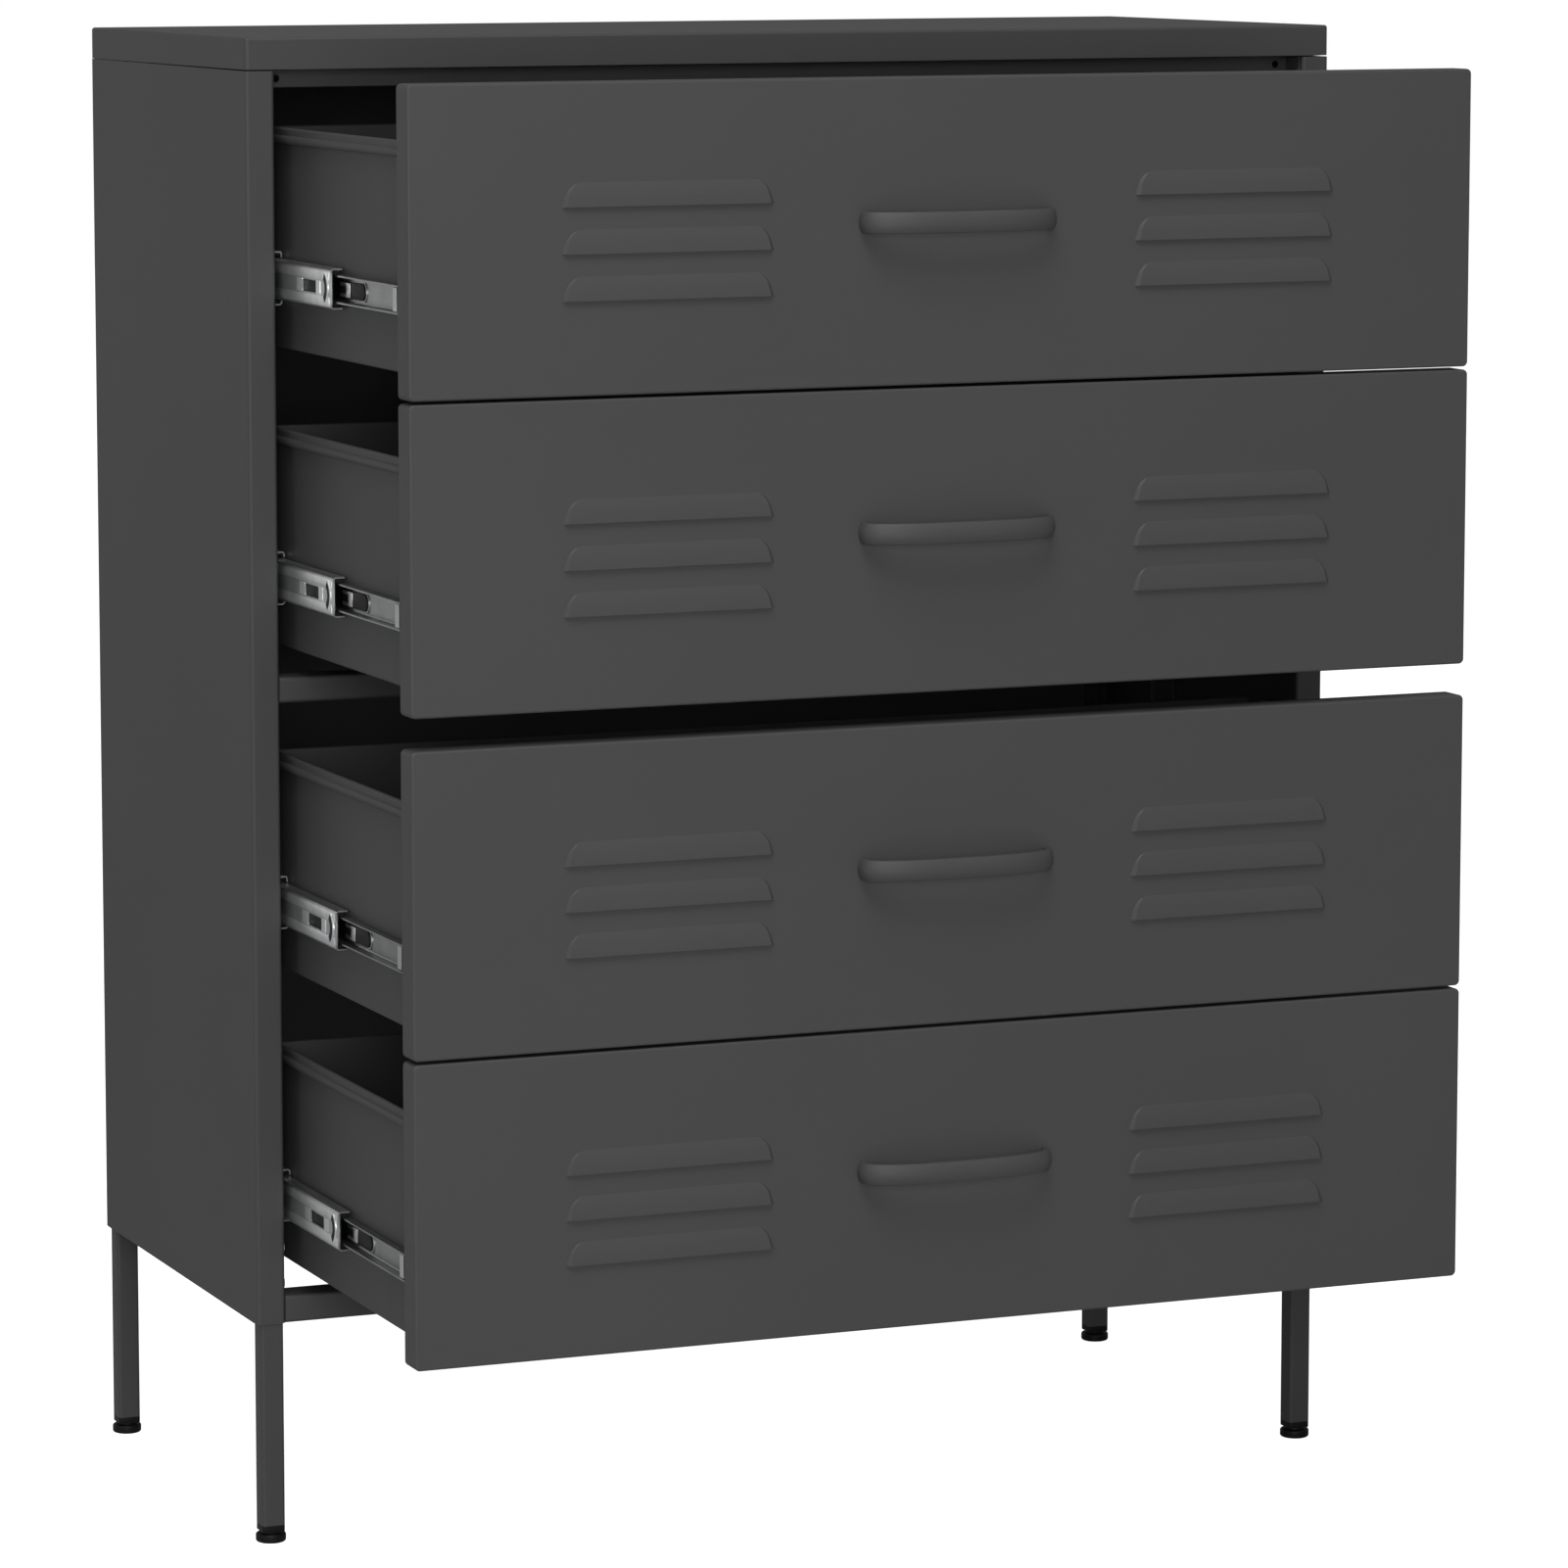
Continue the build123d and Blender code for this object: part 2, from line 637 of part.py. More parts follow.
def tray():
    """Tray: floor and sides folded from one sheet, with rolled rims, closed by two end walls."""
    wall = TRAY_HALF - TRAY_SHEET / 2
    floor = TRAY_LIFT + TRAY_SHEET / 2
    rim = TRAY_LIFT + TRAY_H - TRAY_SHEET / 2
    hem = wall + HEM_OUT
    rear_y = FRONT_DEPTH + TRAY_LENGTH
    outline = [(-hem, rim - HEM_DROP), (-hem, rim), (-wall, rim), (-wall, floor)]
    outline += [(-x, z) for x, z in reversed(outline)]
    back_y = rear_y - HEM_OUT - TRAY_SHEET / 2
    back_outline = [(back_y + HEM_OUT, rim - HEM_DROP), (back_y + HEM_OUT, rim), (back_y, rim), (back_y, floor)]
    across = Plane(origin=(0, FRONT_DEPTH, 0), x_dir=(1, 0, 0), z_dir=(0, -1, 0))
    along = Plane(origin=(-wall, 0, 0), x_dir=(0, 1, 0), z_dir=(1, 0, 0))
    with BuildPart() as box:
        add(folded_strip(across, outline, HEM_R, TRAY_SHEET, -TRAY_LENGTH))
        add(folded_strip(along, back_outline, HEM_R, TRAY_SHEET, 2 * wall))
        with BuildSketch(Plane.XZ.offset(-FRONT_DEPTH)):
            with Locations((0, (floor + rim) / 2)):
                Rectangle(2 * wall, rim - floor)
            with Locations(*tray_screw_places()):
                Circle(SCREW_R + SCREW_PLAY, mode=Mode.SUBTRACT)
        extrude(amount=-TRAY_SHEET)
    return box.part


def handle():
    """Bow handle: a bar bent out from the front, its outer face crowned, with a stud in each foot."""
    foot_x = (HANDLE_WIDTH - HANDLE_THICK) / 2
    flat_x = (HANDLE_FLAT - HANDLE_THICK) / 2
    bar_y = HANDLE_THICK / 2 - HANDLE_PROUD
    half_tall = HANDLE_TALL / 2
    edge_y = HANDLE_CROWN - HANDLE_PROUD
    with BuildPart() as bow:
        with BuildSketch(Plane.XY.offset(HANDLE_Z - half_tall)):
            with BuildLine():
                FilletPolyline(
                    (-foot_x, HANDLE_BEND_R), (-foot_x, 0), (-flat_x, bar_y),
                    (flat_x, bar_y), (foot_x, 0), (foot_x, HANDLE_BEND_R),
                    radius=HANDLE_BEND_R,
                )
            trace(line_width=HANDLE_THICK)
        extrude(amount=HANDLE_TALL)
        with BuildSketch(Plane(origin=(-HANDLE_WIDTH, 0, HANDLE_Z), x_dir=(0, 1, 0), z_dir=(1, 0, 0))):
            with BuildLine():
                back = Polyline((edge_y, half_tall), (0, half_tall), (0, -half_tall), (edge_y, -half_tall))
                ThreePointArc(back @ 0, (-HANDLE_PROUD, 0), back @ 1)
            make_face()
        extrude(amount=2 * HANDLE_WIDTH, mode=Mode.INTERSECT)
        with BuildSketch(Plane.XZ):
            with Locations((0, HANDLE_Z)):
                with GridLocations(2 * foot_x, 0, 2, 1):
                    Circle(STUD_R)
        extrude(amount=-STUD_LENGTH)
    return bow.part


def fixings():
    """Fixings of one drawer: nuts on the handle's studs and screws through the tray's front wall."""
    screw = pan_screw(TRAY_SCREW_LENGTH)
    head_y = FRONT_DEPTH + TRAY_SHEET
    with BuildPart() as group:
        with BuildSketch(Plane.XZ.offset(-FRONT_SHEET)):
            with Locations((0, HANDLE_Z)):
                with GridLocations(HANDLE_WIDTH - HANDLE_THICK, 0, 2, 1):
                    RegularPolygon(NUT_R, 6)
                    Circle(STUD_R + SCREW_PLAY, mode=Mode.SUBTRACT)
        extrude(amount=-NUT_H)
        for x, z in tray_screw_places():
            with Locations(Location((x, head_y, z), (0, 0, -90))):
                add(screw)
    return group.part


def placed(piece, bottom):
    """A drawer's piece moved to its drawer, pulled out to the stop."""
    with BuildPart() as result:
        with Locations((0, FACE_Y, bottom)):
            add(piece)
    return result.part


save(top_panel(), "top_panel")
save(back_panel(), "back_panel")
save(top_rail(), "top_rail")
save(channel_rail(MIDDLE_RAIL_Z, MIDDLE_RAIL_H), "middle_rail")
save(channel_rail(BODY_BOTTOM, BOTTOM_RAIL_H), "bottom_rail")
save(feet(), "feet")
save(cabinet_screws(), "cabinet_screws")
for side_name, side_sign in SIDES.items():
    save(side_panel(side_sign), f"side_panel_{side_name}")
    save(slide_upright(side_sign), f"slide_upright_{side_name}")
    save(outer_members(side_sign), f"slide_outers_{side_name}")
for leg_name, side_sign, leg_y in leg_places():
    save(leg(side_sign, leg_y), leg_name)

drawer_pieces = {"front": drawer_front(), "tray": tray(), "handle": handle(), "fixings": fixings()}
for number, drawer_z in enumerate(BOTTOMS, start=1):
    for piece_name, piece in drawer_pieces.items():
        save(placed(piece, drawer_z), f"drawer_{number}_{piece_name}")
    slide_z = drawer_z + SLIDE_Z
    for side_name, side_sign in SIDES.items():
        save(middle_member(side_sign, slide_z), f"slide_{number}_middle_{side_name}")
        save(inner_member(side_sign, slide_z), f"slide_{number}_inner_{side_name}")
    save(outer_cages(slide_z), f"slide_{number}_outer_cages")
    save(inner_cages(slide_z), f"slide_{number}_inner_cages")
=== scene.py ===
"""Steel drawer cabinet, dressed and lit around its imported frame.

The CAD nodes carry the folded sheet, the slide members and the screws, and get their finishes here.
The top, drawer fronts, handles, ball cages and glides are made here and replace plainer solids.
The beads of the hems and the small fittings of the slides are made here too, and are in no solid.
"""
import math

import bmesh
import bpy
from bpy.props import FloatProperty, FloatVectorProperty, IntProperty, PointerProperty
from bpy.types import Operator, Panel, PropertyGroup
from mathutils import Euler, Matrix, Vector


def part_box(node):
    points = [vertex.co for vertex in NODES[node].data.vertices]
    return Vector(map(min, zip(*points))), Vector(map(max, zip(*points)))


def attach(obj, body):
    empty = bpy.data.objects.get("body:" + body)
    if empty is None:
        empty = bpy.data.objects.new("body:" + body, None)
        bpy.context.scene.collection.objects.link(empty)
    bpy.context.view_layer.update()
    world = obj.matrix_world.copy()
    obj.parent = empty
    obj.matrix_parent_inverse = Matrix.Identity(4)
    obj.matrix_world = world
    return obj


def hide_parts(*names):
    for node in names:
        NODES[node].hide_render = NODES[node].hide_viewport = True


bl_info = {
    "name": "Steel drawer cabinet",
    "version": (1, 0, 0),
    "blender": (4, 5, 0),
    "location": "View3D > Sidebar > Cabinet",
    "description": "Finishes and fittings of a steel drawer cabinet with telescopic slides",
    "category": "Object",
}

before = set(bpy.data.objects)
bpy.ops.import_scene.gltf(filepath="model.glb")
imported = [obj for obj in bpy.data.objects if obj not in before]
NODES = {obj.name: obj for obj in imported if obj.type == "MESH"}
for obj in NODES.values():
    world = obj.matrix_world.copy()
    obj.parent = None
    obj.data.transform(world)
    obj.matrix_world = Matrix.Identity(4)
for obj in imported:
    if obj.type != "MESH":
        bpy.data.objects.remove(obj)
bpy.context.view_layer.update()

MM = 0.001
SIDES = {"left": -1, "right": 1}
DRAWERS = [1, 2, 3, 4]
BODY_SHEET_NODES = [
    "back_panel", "top_rail", "middle_rail", "bottom_rail",
    "side_panel_left", "side_panel_right", "slide_upright_left", "slide_upright_right",
    "leg_front_left", "leg_front_right", "leg_back_left", "leg_back_right",
]

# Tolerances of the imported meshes, the least angles of an edge that is sharp and of one that a bevel
# rounds, and how far the back of an added piece is sunk
TINY = 0.05 * MM
WELD = 0.005 * MM
BEND_ANGLE = math.radians(32)
CORNER_ANGLE = math.radians(35)
SUNK = 0.2 * MM

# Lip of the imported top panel: only its outer skin rises for the seam, and less at the rear
TOP_LIP = 22 * MM
TOP_BEND = 3 * MM
TOP_SKIN = 1 * MM
REAR_SEAM = 0.3

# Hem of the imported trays, and the steps round half a bead
TRAY_HEM = 10.35 * MM
BEAD_STEPS = 10

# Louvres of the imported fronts, from each front's lower edge and middle
FRONT_SHEET = 0.8 * MM
LOUVRE_PROUD = 4.5 * MM
LOUVRE_LENGTH = 145 * MM
LOUVRE_RISE = 15.5 * MM
LOUVRE_COLUMNS = (-200.4 * MM, 200.4 * MM)
LOUVRE_MOUTHS = (60.3 * MM, 90.0 * MM, 119.7 * MM)

# Bow handles: steps along the bow, the bevel of its rims, and where its face has points, as shares
# of half its height
HANDLE_STEPS = 96
HANDLE_ROUND = 0.6 * MM
HANDLE_FACE = (-0.95, -0.8, -0.6, -0.35, 0, 0.35, 0.6, 0.8, 0.95)

# Ball cages: their wall, the share of the track that a strip fills, and the balls' setback
CAGE_WALL = 0.9 * MM
CAGE_FILL = 0.55
BALL_SETBACK = 0.6 * MM

# Middle members: raceways, and the presses near the leading end, as distances behind its edge
RACE_OFFSET = 8.1 * MM
RACE_CROWN = 0.3 * MM
RACE_STEPS = 10
RACE_START = 3 * MM
RACE_END = 247 * MM
WINDOW_START = 29 * MM
WINDOW_END = 57 * MM
FRONT_PAD_LENGTH = 8 * MM
FRONT_PAD_HALF = 4.4 * MM
REAR_PAD_LENGTH = 11 * MM
REAR_PAD_HALF = 4.2 * MM
PAD_PROUD = 0.25 * MM
CRESCENT_CENTRE = 18 * MM
RIDGE_RADII = (11.4 * MM, 13.4 * MM)
RIDGE_SPAN = 48
RIDGE_PROUD = 0.35 * MM
# Painted shade: a thin black crescent stands where the crescent slot shows only shade
SLOT_SHADE_RADII = (6.6 * MM, 11.2 * MM)
SLOT_SHADE_SPAN = 58
SLOT_SHADE_PROUD = 0.33 * MM

# Inner members: how far the lever ends behind the middle member's edge, the rim round its nose, and
# the layers of the latch outside the web, as near and far depths
MEMBER_SHEET = 1 * MM
LEVER_TAIL = 9 * MM
RIM_GAPS = (0.6 * MM, 1.8 * MM)
RIM_SPAN = 62
LEVER_LAYER = (0.05 * MM, 1.45 * MM)
CLIP_LAYER = (1.5 * MM, 2.3 * MM)
RIM_LAYER = (-0.1 * MM, 0.7 * MM)
EAR_FOOT_LAYER = (4.6 * MM, 5.6 * MM)

# Glides, round the end of a leg's tube
COLLAR_HEIGHT = 4.5 * MM
COLLAR_CORNER = 2.2 * MM
PLUG_INSET = 1.2 * MM
PAD_RADIUS = 10.35 * MM
PAD_ROLL = 1.6 * MM
PAD_TOP = 6 * MM
NECK_RADIUS = 6.5 * MM
NECK_START = 6.1 * MM
NECK_OVERLAP = 0.2 * MM

# Rounding of the edges of the small fittings
CAGE_EDGE = 0.15 * MM
LEVER_EDGE = 0.3 * MM
CLIP_EDGE = 0.25 * MM
FOLD_EDGE = 0.15 * MM
STOP_EDGE = 0.2 * MM
GLIDE_EDGE = 0.35 * MM

# Camera of the photograph, solved from the edges of the body and the fronts
SENSOR_WIDTH = 36.0
CAMERA_PLACE = (-1.7030, -4.0305, 1.1126)
CAMERA_YAW = math.radians(21.494)
CAMERA_PITCH = math.radians(-6.927)
CAMERA_ROLL = math.radians(0.159)
CAMERA_SHIFT = (0.1, -0.08)
CAMERA_REACH = 100

# Studio: the floor's half width and thickness in metres, and the point that the lights face
FLOOR_REACH = 14.0
FLOOR_THICK = 0.02
LIGHTS_AIM = Vector((0, -0.2, 0.5))


def linear(code):
    """Linear red, green and blue of an sRGB hex colour."""
    channels = [int(code[i:i + 2], 16) / 255 for i in (0, 2, 4)]
    return tuple(c / 12.92 if c <= 0.04045 else ((c + 0.055) / 1.055) ** 2.4 for c in channels)


class CABINET_PG_paint(PropertyGroup):
    """Powder coat of the folded sheet."""

    body: FloatVectorProperty(
        name="Body", description="Coat of the body sheet",
        subtype="COLOR", default=linear("3a3a3b"), min=0, max=1
    )
    fronts: FloatVectorProperty(
        name="Fronts", description="Coat of fronts and handles",
        subtype="COLOR", default=linear("3c3c3d"), min=0, max=1
    )
    roughness: FloatProperty(
        name="Roughness", description="Roughness of the satin coat",
        default=0.58, min=0.1, max=1, subtype="FACTOR"
    )
    peel: FloatProperty(
        name="Orange peel", description="Spacing of the ripples in the cured coat",
        default=1.6 * MM, min=0.0002, max=0.01, unit="LENGTH"
    )
    peel_depth: FloatProperty(
        name="Peel depth", description="Height of the ripples",
        default=0.012 * MM, min=0, max=0.0002, unit="LENGTH"
    )


class CABINET_PG_body(PropertyGroup):
    """Joints of the body sheet and hems of the trays."""

    top_seam: FloatProperty(
        name="Top seam", description="Height of the groove under the lip of the top panel",
        default=0.9 * MM, min=0, max=0.002, unit="LENGTH"
    )
    bead_height: FloatProperty(
        name="Bead", description="Height of the bead along a tray's hem",
        default=5.4 * MM, min=0.001, max=0.01, unit="LENGTH"
    )
    bead_proud: FloatProperty(
        name="Bead proud", description="How far the bead stands out of the hem",
        default=1.9 * MM, min=0.0005, max=0.004, unit="LENGTH"
    )


class CABINET_PG_fronts(PropertyGroup):
    """Forms pressed and bent for the drawer fronts."""

    louvre_proud: FloatProperty(
        name="Louvre proud", description="How far a louvre stands out of the sheet",
        default=2.3 * MM, min=0.001, max=LOUVRE_PROUD, unit="LENGTH"
    )
    louvre_lean: FloatProperty(
        name="Louvre lean", description="How far the ends of a louvre lean in over its rise",
        default=5 * MM, min=0, max=0.02, unit="LENGTH"
    )
    handle_thick: FloatProperty(
        name="Handle", description="Thickness of the bow",
        default=5 * MM, min=0.003, max=0.008, unit="LENGTH"
    )
    handle_crown: FloatProperty(
        name="Handle crown", description="Rise of the rounded face of the bow",
        default=2.2 * MM, min=0.001, max=0.004, unit="LENGTH"
    )
    handle_squareness: FloatProperty(
        name="Bow squareness", description="Power of the bow's curve, where 2 is an ellipse",
        default=2.7, min=2, max=6
    )


class CABINET_PG_slides(PropertyGroup):
    """Finishes and fittings of the telescopic slides."""

    zinc: FloatVectorProperty(
        name="Zinc", description="Bright zinc plate of the members",
        subtype="COLOR", default=linear("babbbc"), min=0, max=1
    )
    # A darker grey of the same zinc plate, for the inner members
    dull: FloatVectorProperty(
        name="Dull zinc", description="Zinc of the inner members, dulled by handling",
        subtype="COLOR", default=linear("8f9091"), min=0, max=1
    )
    # Painted highlight: a lighter zinc for the raceways and presses, in place of the light that their
    # curved faces reflect
    burnished: FloatVectorProperty(
        name="Burnished", description="Zinc where rolls and balls have polished it",
        subtype="COLOR", default=linear("e2e3e4"), min=0, max=1
    )
    nylon: FloatVectorProperty(
        name="Nylon", description="Black nylon of levers, cages and glides",
        subtype="COLOR", default=linear("0d0d0d"), min=0, max=1
    )
    balls: IntProperty(
        name="Balls", description="Balls in each row of a cage", default=7, min=2, max=12
    )
    raceway_width: FloatProperty(
        name="Raceway", description="Width of a burnished raceway",
        default=6 * MM, min=0.002, max=0.007, unit="LENGTH"
    )
    lever_length: FloatProperty(
        name="Lever", description="Length of the release lever",
        default=54 * MM, min=0.01, max=0.08, unit="LENGTH"
    )
    lever_height: FloatProperty(
        name="Lever height", description="Height of the release lever",
        default=11 * MM, min=0.004, max=0.015, unit="LENGTH"
    )


class CABINET_PG_stage(PropertyGroup):
    """Camera, lights and floor."""

    floor: FloatVectorProperty(
        name="Floor", description="Pale studio floor",
        subtype="COLOR", default=linear("c9c9c9"), min=0, max=1
    )
    sky: FloatProperty(
        name="Sky", description="Strength of the light that the white room sends back",
        default=0.27, min=0, max=5
    )
    key: FloatProperty(
        name="Key", description="Power of the large softbox high in front, in watts",
        default=150, min=0, max=5000
    )
    side: FloatProperty(
        name="Side", description="Power of the softbox to the left, in watts",
        default=14, min=0, max=5000
    )
    fill: FloatProperty(
        name="Fill", description="Power of the softbox beside the camera, in watts",
        default=95, min=0, max=5000
    )
    glow: FloatProperty(
        name="Glow", description="Share of the floor's white that is its own",
        default=0.95, min=0, max=1
    )
    card: FloatProperty(
        name="Card", description="Power of the dim white card that the slides mirror, in watts",
        default=7, min=0, max=500
    )
    focal_length: FloatProperty(
        name="Focal length", description="Focal length of the camera in millimetres",
        default=145.8, min=20, max=500
    )


def add_node(tree, kind, settings=None, links=None):
    """Add one shader or geometry node, set its values or a ramp's stops, and link its inputs."""
    node = tree.nodes.new(kind)
    for name, value in (settings or {}).items():
        if name == "Stops":
            for element, (position, colour) in zip(node.color_ramp.elements, value):
                element.position = position
                element.color = colour
        elif name in node.inputs:
            node.inputs[name].default_value = value
        else:
            setattr(node, name, value)
    for name, source in (links or {}).items():
        tree.links.new(source, node.inputs[name])
    return node


def shades(colour, dark, light):
    """Stops of a ramp from a darker to a lighter shade of one colour, over the middle of a noise."""
    return [(0.3, (*[c * dark for c in colour], 1)), (0.7, (*[c * light for c in colour], 1))]


def new_material(name):
    """Empty node material, its tree, and the place on the object that its patterns start from."""
    material = bpy.data.materials.new(name)
    material.use_nodes = True
    tree = material.node_tree
    tree.nodes.clear()
    return material, tree, add_node(tree, "ShaderNodeTexCoord").outputs["Object"]


# Thermoset polyester powder coat on folded steel, oven cured: a satin skin that hides the metal,
# with soft ripples about 1.6 mm apart, a fine grain and a very slight cloudiness.
def satin_powder_coat(name, colour, roughness, peel, depth):
    material, tree, place = new_material(name)
    cloud_size, grain_size = 180 * MM, peel / 4
    cloud = add_node(
        tree, "ShaderNodeTexNoise", {"Scale": 1 / cloud_size, "Detail": 3.0}, {"Vector": place}
    )
    ripple = add_node(
        tree, "ShaderNodeTexNoise", {"Scale": 1 / peel, "Detail": 1.0}, {"Vector": place}
    )
    grain = add_node(
        tree, "ShaderNodeTexNoise", {"Scale": 1 / grain_size, "Detail": 2.0}, {"Vector": place}
    )
    tint = add_node(
        tree, "ShaderNodeValToRGB", {"Stops": shades(colour, 0.97, 1.03)}, {"Fac": cloud.outputs["Fac"]}
    )
    dulled = add_node(
        tree, "ShaderNodeMapRange", {"To Min": roughness - 0.04, "To Max": roughness + 0.04},
        {"Value": grain.outputs["Fac"]}
    )
    rippled = add_node(
        tree, "ShaderNodeBump", {"Strength": 0.6, "Distance": depth}, {"Height": ripple.outputs["Fac"]}
    )
    grained = add_node(
        tree, "ShaderNodeBump", {"Strength": 0.4, "Distance": depth / 3},
        {"Height": grain.outputs["Fac"], "Normal": rippled.outputs["Normal"]}
    )
    shader = add_node(
        tree, "ShaderNodeBsdfPrincipled", {"IOR": 1.5, "Specular IOR Level": 0.32},
        {
            "Base Color": tint.outputs["Color"],
            "Roughness": dulled.outputs["Result"],
            "Normal": grained.outputs["Normal"],
        },
    )
    add_node(tree, "ShaderNodeOutputMaterial", links={"Surface": shader.outputs["BSDF"]})
    return material


# Bright zinc plate on cold-rolled strip: a metal drawn along Y by the rolls, so its sheen has lines
# along the slide, with faint cloudy patches from the plating bath. The rolls' own lines are finer
# than 0.1 mm, and are drawn 0.8 mm apart so that they show.
def bright_zinc_strip(name, colour):
    material, tree, place = new_material(name)
    line_spacing, bath_patch, line_depth = 0.8 * MM, 14 * MM, 0.01 * MM
    along_rolls = (1.0, 0.03, 1.0)
    drawn = add_node(tree, "ShaderNodeMapping", {"Scale": along_rolls}, {"Vector": place})
    lines = add_node(
        tree, "ShaderNodeTexNoise", {"Scale": 1 / line_spacing, "Detail": 3.0},
        {"Vector": drawn.outputs["Vector"]}
    )
    bath = add_node(
        tree, "ShaderNodeTexNoise", {"Scale": 1 / bath_patch, "Detail": 4.0}, {"Vector": place}
    )
    tint = add_node(
        tree, "ShaderNodeValToRGB", {"Stops": shades(colour, 0.86, 1.06)}, {"Fac": bath.outputs["Fac"]}
    )
    sheen = add_node(
        tree, "ShaderNodeMapRange", {"To Min": 0.24, "To Max": 0.42}, {"Value": lines.outputs["Fac"]}
    )
    brushed = add_node(
        tree, "ShaderNodeBump", {"Strength": 0.35, "Distance": line_depth}, {"Height": lines.outputs["Fac"]}
    )
    shader = add_node(
        tree, "ShaderNodeBsdfPrincipled", {"Metallic": 1.0},
        {
            "Base Color": tint.outputs["Color"],
            "Roughness": sheen.outputs["Result"],
            "Normal": brushed.outputs["Normal"],
        },
    )
    add_node(tree, "ShaderNodeOutputMaterial", links={"Surface": shader.outputs["BSDF"]})
    return material


# Injection-moulded nylon, spark-eroded mould: a dull black plastic that stays dark in a white
# room. The mould's grain is about 0.1 mm, and is drawn at 0.4 mm so that it shows.
def moulded_nylon(name, colour):
    material, tree, place = new_material(name)
    grain_size, grain_depth = 0.4 * MM, 0.02 * MM
    grain = add_node(
        tree, "ShaderNodeTexNoise", {"Scale": 1 / grain_size, "Detail": 2.0}, {"Vector": place}
    )
    tint = add_node(
        tree, "ShaderNodeValToRGB", {"Stops": shades(colour, 0.9, 1.1)}, {"Fac": grain.outputs["Fac"]}
    )
    dulled = add_node(
        tree, "ShaderNodeMapRange", {"To Min": 0.42, "To Max": 0.58}, {"Value": grain.outputs["Fac"]}
    )
    eroded = add_node(
        tree, "ShaderNodeBump", {"Strength": 0.5, "Distance": grain_depth}, {"Height": grain.outputs["Fac"]}
    )
    shader = add_node(
        tree, "ShaderNodeBsdfPrincipled", {"IOR": 1.53, "Specular IOR Level": 0.15},
        {
            "Base Color": tint.outputs["Color"],
            "Roughness": dulled.outputs["Result"],
            "Normal": eroded.outputs["Normal"],
        },
    )
    add_node(tree, "ShaderNodeOutputMaterial", links={"Surface": shader.outputs["BSDF"]})
    return material


# Hardened bearing steel, tumbled and polished: near mirror, with a trace of grease haze.
def bearing_steel(name):
    material, tree, place = new_material(name)
    haze_size = 1.2 * MM
    haze = add_node(
        tree, "ShaderNodeTexNoise", {"Scale": 1 / haze_size, "Detail": 2.0}, {"Vector": place}
    )
    tint = add_node(
        tree, "ShaderNodeValToRGB", {"Stops": shades(linear("c6c7c9"), 0.9, 1.0)},
        {"Fac": haze.outputs["Fac"]}
    )
    polish = add_node(
        tree, "ShaderNodeMapRange", {"To Min": 0.08, "To Max": 0.2}, {"Value": haze.outputs["Fac"]}
    )
    shader = add_node(
        tree, "ShaderNodeBsdfPrincipled", {"Metallic": 1.0},
        {"Base Color": tint.outputs["Color"], "Roughness": polish.outputs["Result"]},
    )
    add_node(tree, "ShaderNodeOutputMaterial", links={"Surface": shader.outputs["BSDF"]})
    return material


# Opal acrylic light table under a matt white film: lit evenly from inside for the camera alone, so
# it stays pale round the object while soft contact shadows still show. The film's mottle is wide
# and barely seen.
def matt_studio_white(name, colour, glow):
    material, tree, place = new_material(name)
    mottle_size = 2000 / 3 * MM
    mottle = add_node(
        tree, "ShaderNodeTexNoise", {"Scale": 1 / mottle_size, "Detail": 2.0}, {"Vector": place}
    )
    tint = add_node(
        tree, "ShaderNodeValToRGB", {"Stops": shades(colour, 0.99, 1.0)}, {"Fac": mottle.outputs["Fac"]}
    )
    shader = add_node(
        tree, "ShaderNodeBsdfPrincipled", {"Roughness": 0.9, "Specular IOR Level": 0.2},
        {"Base Color": tint.outputs["Color"]},
    )
    seen = add_node(tree, "ShaderNodeLightPath").outputs["Is Camera Ray"]
    inside = add_node(tree, "ShaderNodeMapRange", {"To Min": 0.0, "To Max": glow}, {"Value": seen})
    lit = add_node(
        tree, "ShaderNodeEmission", {"Color": (1, 1, 1, 1)}, {"Strength": inside.outputs["Result"]}
    )
    both = add_node(tree, "ShaderNodeAddShader")
    tree.links.new(shader.outputs["BSDF"], both.inputs[0])
    tree.links.new(lit.outputs["Emission"], both.inputs[1])
    add_node(tree, "ShaderNodeOutputMaterial", links={"Surface": both.outputs["Shader"]})
    return material


def finish_with(name, maker, *values):
    """A material by name, made the first time that it is asked for."""
    return bpy.data.materials.get(name) or maker(name, *values)


def coat(name, colour):
    """Powder coat of one colour, with the roughness and ripples that all the sheet shares."""
    paint = bpy.context.scene.cabinet_paint
    shared = (paint.roughness, paint.peel, paint.peel_depth)
    return finish_with(name, satin_powder_coat, tuple(colour), *shared)


def body_coat():
    return coat("satin_powder_coat_body", bpy.context.scene.cabinet_paint.body)


def front_coat():
    return coat("satin_powder_coat_fronts", bpy.context.scene.cabinet_paint.fronts)


def zinc_plate():
    colour = bpy.context.scene.cabinet_slides.zinc
    return finish_with("bright_zinc_strip", bright_zinc_strip, tuple(colour))


# The same plate in a darker grey for the inner members, so they look greyer than the middle ones.
def dull_zinc():
    colour = bpy.context.scene.cabinet_slides.dull
    return finish_with("dull_zinc_strip", bright_zinc_strip, tuple(colour))


# The same plate in a lighter colour: a painted highlight that stands in for the light that the curved
# raceways, pads and ridge of the middle members reflect.
def burnished_zinc():
    colour = bpy.context.scene.cabinet_slides.burnished
    return finish_with("burnished_zinc", bright_zinc_strip, tuple(colour))


def black_nylon():
    colour = bpy.context.scene.cabinet_slides.nylon
    return finish_with("black_moulded_nylon", moulded_nylon, tuple(colour))


